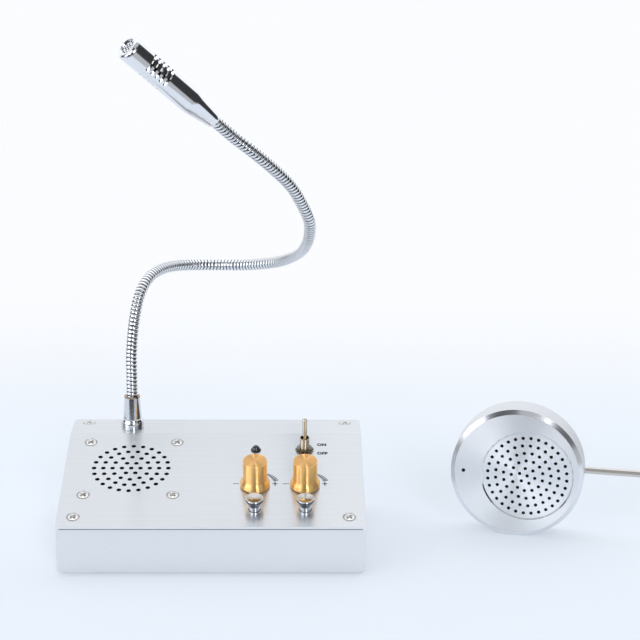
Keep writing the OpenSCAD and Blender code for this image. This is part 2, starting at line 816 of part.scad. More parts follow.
// Anodised knob: a straight grip that flares into a skirt, hollow over the shaft's nut
module knob() {
    grip = knob_d / 2;
    skirt = skirt_d / 2;
    flare_low = knob_gap + knob_rim;
    edge = 0.4;
    color("goldenrod")
    difference() {
        rotate_extrude($fn = 64)
            polygon(concat(
                [[0, knob_gap], [skirt - edge, knob_gap], [skirt, knob_gap + edge]],
                [for (a = [0:15:180])
                    [(skirt + grip) / 2 + (skirt - grip) / 2 * cos(a), flare_low + flare_h * a / 180]],
                [[grip, knob_h - edge], [grip - edge, knob_h], [0, knob_h]]));
        translate([0, 0, -cut]) cylinder(d = knob_hollow_d, h = knob_hollow_h + cut);
        cylinder(d = shaft_d + 2 * slip, h = knob_h - 3);
        translate([0, 0, grub_h]) rotate([-90, 0, 0]) cylinder(d = grub_d + 2 * slip, h = knob_d);
    }
}

module volume_shaft() {
    color("silver")
        translate([0, 0, -plate_t - 3]) cylinder(d = shaft_d, h = knob_h - 3 + plate_t + 3 - 0.2);
}

module grub_screw() {
    color("dimgray")
    translate([0, 0, grub_h])
        rotate([-90, 0, 0])
            difference() {
                translate([0, 0, shaft_d / 2 + slip])
                    cylinder(d = grub_d, h = knob_d / 2 - shaft_d / 2 - slip - grub_depth);
                translate([0, 0, knob_d / 2 - grub_depth - 1]) hex(1.5, 2);
            }
}

module knob_left() { on_panel(control_x, knob_s) knob(); }
module knob_right() { on_panel(control_x + control_pitch, knob_s) knob(); }
module shaft_left() { on_panel(control_x, knob_s) volume_shaft(); }
module shaft_right() { on_panel(control_x + control_pitch, knob_s) volume_shaft(); }
module grub_left() { on_panel(control_x, knob_s) grub_screw(); }
module grub_right() { on_panel(control_x + control_pitch, knob_s) grub_screw(); }

// Rotary volume controls: a drum under the plate, a threaded bush through it, three lugs
module volume_bodies() {
    color("dimgray")
    at_controls(knob_s)
        difference() {
            union() {
                translate([0, 0, -plate_t - volume_body_h]) cylinder(d = volume_body_d, h = volume_body_h);
                translate([0, 0, -plate_t - 1]) cylinder(d = volume_bush_d, h = volume_bush_h + plate_t + 1);
                for (x = [-5, 0, 5])
                    translate([x - 0.7, -volume_body_d / 2 - 3, -plate_t - volume_body_h])
                        cube([1.4, 4.5, 1]);
            }
            translate([0, 0, -plate_t - 3 - free])
                cylinder(d = shaft_d + 2 * slip, h = volume_bush_h + plate_t + 3 + free + cut);
        }
}

module volume_nuts() {
    color("silver")
    at_controls(knob_s)
        difference() {
            union() {
                cylinder(d = volume_washer_d - 0.4, h = washer_t);
                translate([0, 0, washer_t]) hex(volume_nut_af, volume_nut_h);
            }
            translate([0, 0, -cut]) cylinder(d = volume_bush_d + 2 * slip, h = 5);
        }
}

// Chromed mute button: a domed top that tapers into the stem
module mute_button() {
    r = button_d / 2;
    stem = stem_d / 2;
    color("gainsboro")
        rotate_extrude($fn = 64)
            polygon(concat(
                [[0, -stem_below], [stem, -stem_below], [stem, button_travel + 1],
                 [r - 0.25, button_h - 2.6], [r, button_h - 2], [r, button_h - 1]],
                [for (a = [15:15:90]) [r - 0.6 * (1 - cos(a)), button_h - 1 + 0.7 * sin(a)]],
                [[r - 2.4, button_h - 0.1], [0, button_h]]));
}

module button_left() { on_panel(control_x, button_s) mute_button(); }
module button_right() { on_panel(control_x + control_pitch, button_s) mute_button(); }

// Push-switch bodies: a guide for the stem, deep enough for its travel
module button_bodies() {
    color("black")
    at_controls(button_s)
        difference() {
            translate([-button_body_w / 2, -button_body_w / 2, -board_depth])
                cube([button_body_w, button_body_w, board_depth - plate_t - slip]);
            translate([0, 0, -stem_below - button_travel - free])
                cylinder(d = stem_d + 2 * slip, h = stem_below + button_travel);
        }
}

module on_toggle() {
    on_panel(control_x + control_pitch, switch_s) children();
}

module toggle_body() {
    color("firebrick")
    on_toggle()
        difference() {
            translate([-toggle_body[0] / 2, -toggle_body[1] / 2, -plate_t - toggle_body[2]])
                cube(toggle_body);
            translate([0, 0, -plate_t - 2.6]) cylinder(d = 4.8, h = 4);
        }
}

// Threaded bush; the lever's ball is held up against the lip of its conical mouth
module toggle_bush() {
    color("silver")
    on_toggle()
        difference() {
            translate([0, 0, -plate_t]) cylinder(d = toggle_bush_d, h = plate_t + toggle_bush_h);
            translate([0, 0, -plate_t - cut])
                cylinder(d = toggle_ball_d + 2 * slip, h = lever_pivot + plate_t + cut);
            translate([0, 0, lever_pivot]) sphere(d = toggle_ball_d + 2 * slip);
            translate([0, 0, lever_pivot])
                cylinder(d1 = lever_mouth_d, d2 = toggle_bush_d - 0.76, h = toggle_bush_h - lever_pivot);
        }
}

module toggle_nut() {
    color("silver")
    on_toggle()
        translate([0, 0, 0.6])
            difference() {
                hex(toggle_nut_af, toggle_nut_h);
                translate([0, 0, -cut])
                    cylinder(d = toggle_bush_d + 2 * slip, h = toggle_nut_h + 2 * cut);
            }
}

// Toothed lock washer
module toggle_washer() {
    teeth = 12;
    color("silver")
    on_toggle()
        difference() {
            cylinder(d = toggle_washer_d, h = 0.6);
            translate([0, 0, -cut]) cylinder(d = toggle_bush_d + 2 * slip, h = 3);
            for (k = [0:teeth - 1]) rotate([0, 0, 360 * k / teeth])
                translate([toggle_washer_d / 2 - 1.1, -0.5, -cut]) cube([3, 1, 3]);
        }
}

// Round-tipped lever with a ball in the bush, leaning to the back
module toggle_lever() {
    reach = toggle_bush_h - lever_pivot + lever_len;
    color("silver")
    on_toggle()
        translate([0, 0, lever_pivot])
            rotate([-lever_lean, 0, 0])
                union() {
                    sphere(d = toggle_ball_d);
                    cylinder(d1 = lever_root_d, d2 = lever_tip_d, h = reach - lever_tip_d / 2);
                    translate([0, 0, reach - lever_tip_d / 2]) sphere(d = lever_tip_d);
                }
}

module lamp_bezel() {
    color("black")
    on_panel(control_x, switch_s)
        difference() {
            union() {
                cylinder(d1 = bezel_d, d2 = bezel_d - 0.6, h = 0.8);
                translate([0, 0, -plate_t - 4]) cylinder(d = bezel_d - 1 - 2 * slip, h = plate_t + 4.2);
            }
            translate([0, 0, -plate_t - 4 - cut]) cylinder(d = lens_d + 2 * slip, h = 9);
        }
}

module lamp_lens() {
    color("dimgray")
    on_panel(control_x, switch_s)
        union() {
            translate([0, 0, -plate_t - 3]) cylinder(d = lens_d, h = plate_t + 3 + lens_h - lens_d / 2);
            translate([0, 0, lens_h - lens_d / 2]) sphere(d = lens_d);
            for (x = [-1, 1]) translate([1.27 * x, 0, -board_depth]) cylinder(d = 0.6, h = 7, $fn = 16);
        }
}

// Small board that carries the volume controls, the mute switches and the lamp
module control_board() {
    x0 = control_x - 14;
    x1 = control_x + control_pitch + 14;
    s0 = button_s - 9;
    s1 = switch_s - toggle_body[1] / 2 - 1;
    lamp_half = 8;
    color("darkgreen")
    on_panel(0, 0, -board_depth - board_t)
        union() {
            translate([x0, s0, 0]) cube([x1 - x0, s1 - s0, board_t]);
            translate([control_x - lamp_half, s0, 0])
                cube([2 * lamp_half, switch_s + 5 - s0, board_t]);
        }
}

module main_board() {
    color("darkgreen")
    difference() {
        translate([main_x, main_y, floor_z + standoff_h]) cube([main_w, main_d, board_t]);
        at_board_holes() translate([0, 0, standoff_h - cut]) cylinder(d = board_hole, h = board_t + 2 * cut);
    }
}

module at_board_holes() {
    for (x = [main_x + board_inset, main_x + main_w - board_inset],
        y = [main_y + board_inset, main_y + main_d - board_inset])
        translate([x, y, floor_z]) children();
}

module board_standoffs() {
    color("silver")
    at_board_holes()
        difference() {
            hex(5.5, standoff_h);
            translate([0, 0, 1]) cylinder(d = 3 + 2 * slip, h = standoff_h);
        }
}

module board_screws() {
    color("silver")
    at_board_holes()
        translate([0, 0, standoff_h + board_t])
            difference() {
                union() {
                    cylinder(d = 5.4, h = 1.6);
                    translate([0, 0, -board_t - 4]) cylinder(d = 3, h = board_t + 4.5);
                }
                for (a = [0, 90]) rotate([0, 0, a]) translate([-1.5, -0.3, 0.8]) cube([3, 0.6, 2]);
            }
}

// Amplifier chip on a finned heat sink, two capacitors and two plug headers
module board_parts() {
    top = floor_z + standoff_h + board_t;
    color("black") {
        translate([main_x + 14, main_y + 46, top]) heat_sink();
        for (x = [46, 60]) translate([main_x + x, main_y + 48, top]) cylinder(d = 10, h = 15);
        for (x = [24, 50]) translate([main_x + x, main_y + 8, top]) cube([14, 6, 7]);
        translate([main_x + 30, main_y + 26, top]) cube([16, 7, 3.5]);
    }
}

module heat_sink() {
    cube([20, 3, 16]);
    for (x = [0:4:16]) translate([x, 3, 0]) cube([1.6, 7, 16]);
}

// Power inlet in the back wall: threaded barrel, centre pin and body
module dc_socket() {
    color("black")
    on_back(dc_x, socket_h)
        union() {
            difference() {
                union() {
                    translate([0, 0, -sheet_t - 11]) cylinder(d = dc_thread_d, h = 11 + sheet_t + socket_out);
                    translate([0, 0, -sheet_t - 11]) cylinder(d = dc_thread_d + 3, h = 11 - slip);
                }
                translate([0, 0, socket_out - dc_depth]) cylinder(d = dc_bore, h = dc_depth + cut);
            }
            translate([0, 0, socket_out - dc_depth - 1]) cylinder(d = 2.1, h = dc_depth - 1);
        }
}

// Round jack for the window unit's plug
module window_jack() {
    color("silver")
    on_back(jack_x, socket_h)
        difference() {
            union() {
                translate([0, 0, -sheet_t - 14]) cylinder(d = jack_thread_d, h = 14 + sheet_t + socket_out);
                translate([0, 0, -sheet_t - 14]) cylinder(d = jack_thread_d + 3, h = 14 - slip);
            }
            translate([0, 0, socket_out - jack_depth]) cylinder(d = jack_bore, h = jack_depth + cut);
        }
}

module socket_nuts() {
    color("silver") {
        on_back(dc_x, socket_h) ring_nut(dc_thread_d, 11);
        on_back(jack_x, socket_h) ring_nut(jack_thread_d, 9);
    }
}

module ring_nut(thread, af) {
    difference() {
        hex(af, socket_nut_t);
        translate([0, 0, -cut]) cylinder(d = thread + 2 * slip, h = socket_nut_t + 2 * cut);
    }
}

// Turned cup: bevelled rim, satin face, stepped seat for the grille, three screw bosses
module puck_body() {
    r = puck_d / 2;
    color("silver")
    on_puck()
        difference() {
            union() {
                rotate_extrude($fn = 96)
                    polygon([[0, 0], [r - bevel, 0], [r, -bevel * 0.7], [r, -puck_t], [r - puck_wall, -puck_t],
                        [r - puck_wall, -face_t], [0, -face_t]]);
                for (a = BOSS_ANGLES) rotate([0, 0, a])
                    translate([boss_r, 0, -puck_t + cover_t]) cylinder(d = boss_d, h = puck_t - cover_t - 1);
            }
            translate([insert_x, -insert_drop, 0]) {
                translate([0, 0, -insert_sink])
                    cylinder(d1 = insert_d, d2 = insert_d + 2 * insert_sink, h = insert_sink);
                translate([0, 0, -insert_sink - insert_t])
                    cylinder(d = insert_d, h = insert_t + insert_sink / 2);
                translate([0, 0, -face_t - cut])
                    cylinder(d = insert_d - 2 * insert_ledge, h = face_t);
            }
            translate([-puck_mic_x, 0, -face_t - cut]) cylinder(d = mic_hole_d, h = face_t + 2 * cut);
            for (a = BOSS_ANGLES) rotate([0, 0, a])
                translate([boss_r, 0, -puck_t]) cylinder(d = cover_screw_d + 2 * slip, h = 9);
            translate([0, tube_rise, -tube_back]) rotate([0, 90, 0])
                cylinder(d = tube_d + 2 * slip, h = puck_d);
        }
}

module puck_grille() {
    color("gainsboro")
    on_puck()
        translate([insert_x, -insert_drop, -insert_sink - insert_t])
            rotate([0, 0, -insert_roll])
                difference() {
                    cylinder(d = insert_d - 2 * slip, h = insert_t, $fn = 96);
                    for (p = ring_spots(puck_rings, puck_pitch, puck_ring_gain))
                        translate([p[0], p[1], -cut]) cylinder(d = puck_hole, h = insert_t + 2 * cut, $fn = 24);
                }
}

module puck_cloth() {
    color("black")
    on_puck()
        translate([insert_x, -insert_drop, -insert_sink - insert_t - cloth_t])
            cylinder(d = insert_d - 2 * insert_ledge - 2 * slip, h = cloth_t);
}

// Small loudspeaker behind the grille: rim, cone frame and magnet
module puck_speaker() {
    top = -insert_sink - insert_t - cloth_t;
    color("dimgray")
    on_puck()
        translate([insert_x, -insert_drop, top - puck_speaker_h])
            rotate_extrude()
                polygon([[0, 0], [11, 0], [11, 4], [13, 4], [22, 7], [puck_speaker_d / 2, 7.6],
                    [puck_speaker_d / 2, puck_speaker_h], [22, puck_speaker_h], [9, 7], [0, 7.6]]);
}

module puck_back_cover() {
    color("silver")
    on_puck()
        translate([0, 0, -puck_t])
            difference() {
                cylinder(d = puck_d - 2 * puck_wall - 2 * slip, h = cover_t, $fn = 96);
                for (a = BOSS_ANGLES) rotate([0, 0, a]) translate([boss_r, 0, -cut]) {
                    cylinder(d = cover_screw_d + 0.4, h = cover_t + 2 * cut);
                    cylinder(d1 = cover_head_d + 2, d2 = cover_screw_d + 0.4, h = cut + 1);
                }
            }
}

module puck_screws() {
    color("lightgray")
    on_puck()
        for (a = BOSS_ANGLES) rotate([0, 0, a])
            translate([boss_r, 0, -puck_t])
                difference() {
                    union() {
                        cylinder(d1 = cover_head_d - 0.2, d2 = cover_screw_d, h = 0.9);
                        cylinder(d = cover_screw_d, h = 8);
                    }
                    for (b = [0, 90]) rotate([0, 0, b]) translate([-1.3, -0.3, -cut]) cube([2.6, 0.6, cut + 0.6]);
                }
}

// Electret capsule in its rubber sleeve, behind the small hole of the face
module puck_microphone() {
    color("black")
    on_puck()
        translate([-puck_mic_x, 0, -face_t - 6])
            difference() {
                cylinder(d = puck_sleeve_d, h = 6);
                translate([0, 0, 5.2]) cylinder(d = mic_hole_d, h = 2);
            }
}

// Stainless tube with its inner lock nut and the rubber grommet at its open end
module puck_tube() {
    inner = puck_d / 2 - puck_wall;
    color("lightgray")
    on_puck()
        translate([0, tube_rise, -tube_back])
            rotate([0, 90, 0])
                difference() {
                    union() {
                        translate([0, 0, inner - collar_t - 2 * collar_gap])
                            cylinder(d = tube_d, h = tube_len + puck_wall + collar_t + 2 * collar_gap);
                        translate([0, 0, inner - collar_t - collar_gap]) hex(collar_af, collar_t);
                    }
                    cylinder(d = tube_bore, h = puck_d + tube_len);
                }
}

case_tray();
top_plate();
clinch_nuts();
corner_screws();
rubber_feet();
speaker_basket();
speaker_cone();
speaker_magnet();
speaker_cloth();
speaker_screws();
speaker_nuts();
neck_ferrule();
neck_seal_ring();
neck_washer();
neck_nut();
neck_lower();
neck_flex_1();
neck_middle();
neck_flex_2();
neck_upper();
neck_flex_3();
neck_end();
mic_shell();
mic_cap();
mic_capsule();
mic_sleeve();
knob_left();
knob_right();
shaft_left();
shaft_right();
grub_left();
grub_right();
volume_bodies();
volume_nuts();
button_left();
button_right();
button_bodies();
toggle_lever();
toggle_bush();
toggle_nut();
toggle_washer();
toggle_body();
lamp_bezel();
lamp_lens();
control_board();
main_board();
board_parts();
board_standoffs();
board_screws();
dc_socket();
window_jack();
socket_nuts();
puck_body();
puck_grille();
puck_cloth();
puck_speaker();
puck_back_cover();
puck_screws();
puck_microphone();
puck_tube();
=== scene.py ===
"""Counter intercom: looks of the desk unit, its gooseneck microphone and the window unit.

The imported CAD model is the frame. Turned and wound pieces are rebuilt here as fine meshes on
the same axes, some with small changes that their classes name, and the print is added. Every
other CAD node keeps its mesh and gets a finish.
Lengths in this file are millimetres until Frame.place() turns them into metres.
"""
import json
import logging
import math
from dataclasses import dataclass, field
from enum import Enum
from typing import Callable, Iterable, Optional, Sequence

import bmesh
import bpy
import numpy as np
from mathutils import Matrix, Vector


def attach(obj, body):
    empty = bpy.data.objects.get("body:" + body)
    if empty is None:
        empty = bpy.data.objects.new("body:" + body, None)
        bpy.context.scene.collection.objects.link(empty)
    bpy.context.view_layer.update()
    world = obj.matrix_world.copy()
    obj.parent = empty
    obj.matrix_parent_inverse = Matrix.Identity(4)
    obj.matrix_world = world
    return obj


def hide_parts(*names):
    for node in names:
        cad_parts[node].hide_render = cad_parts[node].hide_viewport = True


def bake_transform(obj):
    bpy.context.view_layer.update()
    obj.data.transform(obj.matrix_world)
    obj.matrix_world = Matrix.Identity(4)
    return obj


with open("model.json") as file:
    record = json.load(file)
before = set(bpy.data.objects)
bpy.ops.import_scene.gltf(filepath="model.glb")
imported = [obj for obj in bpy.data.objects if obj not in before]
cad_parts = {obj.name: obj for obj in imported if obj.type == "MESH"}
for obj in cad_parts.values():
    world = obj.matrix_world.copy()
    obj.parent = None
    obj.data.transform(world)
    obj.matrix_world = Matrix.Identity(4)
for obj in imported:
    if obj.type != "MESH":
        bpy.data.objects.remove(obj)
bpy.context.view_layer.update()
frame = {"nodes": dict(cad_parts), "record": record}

logging.basicConfig(level=logging.INFO, format="%(levelname)s %(message)s")
LOG = logging.getLogger("intercom")

Array = np.ndarray
Profile = list[tuple[float, float]]
Socket, Node = bpy.types.NodeSocket, bpy.types.Node
Material, Mesh, Object = bpy.types.Material, bpy.types.Mesh, bpy.types.Object
MM = 0.001


# ---------------------------------------------------------------- colour and finishes


def linear(hex_colour: str) -> tuple[float, float, float, float]:
    """Turns an sRGB hex colour into linear RGBA.

    Args:
        hex_colour: Six hex digits with a leading hash.

    Returns:
        The three linear channels and an alpha of 1.
    """
    channels = [int(hex_colour[i : i + 2], 16) / 255 for i in (1, 3, 5)]
    lin = [c / 12.92 if c <= 0.04045 else ((c + 0.055) / 1.055) ** 2.4 for c in channels]
    return (lin[0], lin[1], lin[2], 1.0)


class Grain(Enum):
    """Surface pattern that a finish carries."""

    NONE = "none"
    BRUSHED = "brushed along X"
    TURNED = "turned round the axis"
    SPECKLED = "fine speckle"
    WOVEN = "woven cloth"


@dataclass(frozen=True)
class Finish:
    """A real material's finish.

    Attributes:
        name: Name of the material.
        colour: sRGB hex base colour.
        metallic: 1 for bare metal, 0 for paint, plastic, rubber and cloth.
        roughness: Microfacet roughness.
        anisotropy: How far the highlight is drawn out across the grain.
        grain: Surface pattern.
        grain_depth: Strength of the pattern in colour and roughness.
        bump: Height of the pattern, in millimetres.
        coat: Clear coat weight.
        edge: Radius of the shading round on sharp edges, in millimetres; 0 for none.
    """

    name: str
    colour: str
    metallic: float = 1.0
    roughness: float = 0.3
    anisotropy: float = 0.0
    grain: Grain = Grain.NONE
    grain_depth: float = 0.0
    bump: float = 0.0
    coat: float = 0.0
    edge: float = 0.0


class Finishes:
    """The finishes of the object, each named for its real material; names with painted shade,
    painted highlight or painted shadow mark colours that stand in for light or shade.
    """

    BRUSHED_PLATE = Finish(
        "brushed_aluminium", "#E2E5E8", 1.0, 0.34, 0.97, Grain.BRUSHED, 0.4, 0.0012, edge=0.25
    )
    SILVER_PAINT = Finish(
        "silver_paint", "#E4E6E9", 0.8, 0.34, 0.0, Grain.SPECKLED, 0.25, 0.002, edge=0.4
    )
    NICKEL = Finish("polished_nickel", "#DAD9D7", 1.0, 0.14, edge=0.1)
    TOGGLE_NICKEL = Finish("nickel_plate", "#CFC6B6", 1.0, 0.12, edge=0.1)
    # Painted shade: darker nickel for screw rims, cross centres and the toggle's nut and washer.
    NICKEL_PAINTED_SHADE = Finish("nickel_painted_shade", "#8B857A", 1.0, 0.14, edge=0.1)
    # Painted shade: darker chromes for the buttons' flanks and dished tops.
    FLANK_CHROME_PAINTED_SHADE = Finish("smoked_chrome", "#6C7078", 1.0, 0.10)
    DISH_CHROME_PAINTED_SHADE = Finish("dished_chrome", "#B4B0A8", 1.0, 0.12)
    ZINC = Finish("zinc_plate", "#C4C6C9", 1.0, 0.34)
    CHROME = Finish("polished_chrome", "#E3E6EC", 1.0, 0.07)
    FERRULE = Finish("chromed_ferrule", "#D9DCE1", 1.0, 0.12, 0.2, Grain.TURNED, 0.1)
    NECK = Finish("chromed_spiral", "#EEF0F4", 1.0, 0.15)
    # Painted shade: dark metal colour in the neck's grooves.
    GROOVE_PAINTED_SHADE = Finish("spiral_groove_painted_shade", "#54585F", 1.0, 0.3)
    COPPER_RING = Finish("copper_ring", "#A58F78", 1.0, 0.14)
    MIC_CHROME = Finish("satin_chrome", "#ECEDF1", 1.0, 0.12, 0.2, Grain.TURNED, 0.12)
    GOLD = Finish("gold_anodised_aluminium", "#FFCB80", 0.82, 0.3, 0.95, Grain.TURNED, 0.25, 0.0006)
    GOLD_TOP = Finish("faced_gold_anodising", "#FFCC88", 0.9, 0.55, 1.0, Grain.TURNED, 0.3)
    PUCK_FACE = Finish("spun_aluminium", "#E9EBEE", 1.0, 0.42, 0.75, Grain.TURNED, 0.3, 0.0006)
    PUCK_BEVEL = Finish("diamond_cut_aluminium", "#E9EBEF", 1.0, 0.17, 0.3)
    PUCK_SIDE = Finish("satin_aluminium", "#DCDEE1", 1.0, 0.42, 0.7, Grain.TURNED, 0.2)
    STAINLESS = Finish("drawn_stainless", "#CFCBC6", 1.0, 0.20, 0.3, Grain.TURNED, 0.15)
    BLACK_RUBBER = Finish("black_rubber", "#1B1B1D", 0.0, 0.75)
    BLACK_PLASTIC = Finish("black_plastic", "#141416", 0.0, 0.42)
    BLACK_PAPER = Finish("speaker_paper", "#101011", 0.0, 0.85)
    BLACK_CLOTH = Finish("dust_cloth", "#070708", 0.0, 0.95, grain=Grain.WOVEN, grain_depth=0.4)
    BLACK_STEEL = Finish("black_steel", "#2B2D30", 0.6, 0.5)
    FERRITE = Finish("ferrite", "#29292B", 0.0, 0.7)
    SMOKED_LENS = Finish("smoked_lens", "#14151A", 0.0, 0.04, coat=1.0)
    RED_CASE = Finish("dark_red_switch_case", "#6E1712", 0.0, 0.35)
    BOARD = Finish("green_board", "#0E4A2B", 0.0, 0.35, coat=0.3)
    # Painted highlight: the plate's front edge, lighter than the plate.
    EDGE_PAINTED_HIGHLIGHT = Finish("cut_aluminium_edge", "#F4F6F8", 1.0, 0.3)
    # Painted shadow: a dark strip for the shadow line under the plate's front edge.
    SEAM_PAINTED_SHADOW = Finish("seam_shadow", "#50545B", 0.0, 0.8)
    # Painted shade: near black walls in the small holes.
    BORE_PAINTED_SHADE = Finish("bore_painted_shade", "#08090A", 0.0, 0.8)
    PRINT = Finish("black_ink", "#17181B", 0.0, 0.6)


NODES_OF: tuple[tuple[Finish, str], ...] = (
    (Finishes.SILVER_PAINT, "case_tray"),
    (Finishes.BRUSHED_PLATE, "top_plate"),
    (
        Finishes.ZINC,
        "clinch_nuts speaker_nuts neck_washer neck_nut shaft_left shaft_right volume_bodies "
        "board_standoffs board_screws",
    ),
    (Finishes.NICKEL, "corner_screws speaker_screws puck_screws"),
    (Finishes.BLACK_RUBBER, "rubber_feet mic_sleeve puck_microphone"),
    (Finishes.BLACK_STEEL, "speaker_basket grub_left grub_right puck_speaker"),
    (Finishes.BLACK_PAPER, "speaker_cone"),
    (Finishes.FERRITE, "speaker_magnet"),
    (Finishes.BLACK_CLOTH, "speaker_cloth mic_capsule puck_cloth"),
    (Finishes.FERRULE, "neck_ferrule"),
    (Finishes.COPPER_RING, "neck_seal_ring"),
    (
        Finishes.NECK,
        "neck_lower neck_flex_1 neck_middle neck_flex_2 neck_upper neck_flex_3 neck_end",
    ),
    (Finishes.MIC_CHROME, "mic_shell mic_cap"),
    (Finishes.GOLD, "knob_left knob_right"),
    (Finishes.TOGGLE_NICKEL, "volume_nuts toggle_lever toggle_bush window_jack socket_nuts"),
    (Finishes.CHROME, "button_left button_right"),
    (Finishes.BLACK_PLASTIC, "button_bodies lamp_bezel board_parts dc_socket"),
    # The toggle's nut and washer take the darker nickel as painted shade.
    (Finishes.NICKEL_PAINTED_SHADE, "toggle_nut toggle_washer"),
    (Finishes.RED_CASE, "toggle_body"),
    (Finishes.SMOKED_LENS, "lamp_lens"),
    (Finishes.BOARD, "control_board main_board"),
    (Finishes.PUCK_SIDE, "puck_body puck_back_cover"),
    (Finishes.PUCK_FACE, "puck_grille"),
    (Finishes.STAINLESS, "puck_tube"),
)
CAD_FINISHES = {node: finish for finish, nodes in NODES_OF for node in nodes.split()}


GRAIN_SCALES: dict[Grain, tuple[float, float, float]] = {
    Grain.BRUSHED: (13.0, 2400.0, 2400.0),
    Grain.TURNED: (900.0, 900.0, 900.0),
    Grain.SPECKLED: (1400.0, 1400.0, 1400.0),
    Grain.WOVEN: (2200.0, 2200.0, 2200.0),
}
RING_SCALE = 1800.0
NOISE_SPREAD = (0.32, 0.68)
GRAIN_DARKENS, GRAIN_LIGHTENS, GRAIN_ROUGHENS = 0.16, 0.07, 0.25
ACROSS_TANGENT = 0.25
COAT_ROUGHNESS = 0.05
BEVEL_SAMPLES = 4


@dataclass
class Nodes:
    """A node tree, emptied first, with short ways to fill it."""

    tree: bpy.types.NodeTree

    def __post_init__(self) -> None:
        """Empties the tree."""
        self.tree.nodes.clear()

    def feed(self, value: object, socket: Socket) -> None:
        """Links another socket to a socket, or sets it to a constant.

        Args:
            value: The other socket, or the constant.
            socket: Socket that takes it.
        """
        if isinstance(value, Socket):
            self.tree.links.new(value, socket)
        else:
            socket.default_value = value

    def add(self, kind: str, **values: object) -> Node:
        """Adds a node and sets its sockets or properties.

        Args:
            kind: Blender's node type, without ShaderNode before it.
            **values: Socket names with underscores for spaces, or node properties.

        Returns:
            The new node.
        """
        node = self.tree.nodes.new(f"ShaderNode{kind}")
        for key, value in values.items():
            socket = node.inputs.get(key.replace("_", " "))
            if socket is None:
                setattr(node, key, value)
            else:
                self.feed(value, socket)
        return node

    def math(self, operation: str, *values: object) -> Socket:
        """Adds a math node.

        Args:
            operation: Blender's name of the operation.
            *values: Sockets or numbers.

        Returns:
            The result.
        """
        node = self.add("Math", operation=operation)
        for value, socket in zip(values, node.inputs):
            self.feed(value, socket)
        return node.outputs[0]

    def vector(self, operation: str, *values: object) -> Socket:
        """Adds a vector operation.

        Args:
            operation: Blender's name of the operation.
            *values: Sockets or constant vectors.

        Returns:
            The result, a number where the operation gives one.
        """
        node = self.add("VectorMath", operation=operation)
        for value, socket in zip(values, node.inputs):
            self.feed(value, socket)
        return node.outputs["Value" if operation in ("DOT_PRODUCT", "LENGTH") else "Vector"]

    def mix_colours(self, share: object, low: object, high: object) -> Socket:
        """Adds a mix of two colours.

        Args:
            share: Share of the second, a socket or a number.
            low: First colour.
            high: Second colour.

        Returns:
            The mixed colour.
        """
        mix = self.add("Mix", data_type="RGBA")
        for index, value in ((0, share), (6, low), (7, high)):
            self.feed(value, mix.inputs[index])
        return mix.outputs[2]

    def mix_shaders(self, share: Socket, low: Node, high: Node) -> Socket:
        """Adds a mix of two shaders.

        Args:
            share: Share of the second.
            low: Node of the first.
            high: Node of the second.

        Returns:
            The mixed shader.
        """
        mix = self.add("MixShader")
        for value, socket in zip((share, low.outputs[0], high.outputs[0]), mix.inputs):
            self.feed(value, socket)
        return mix.outputs[0]


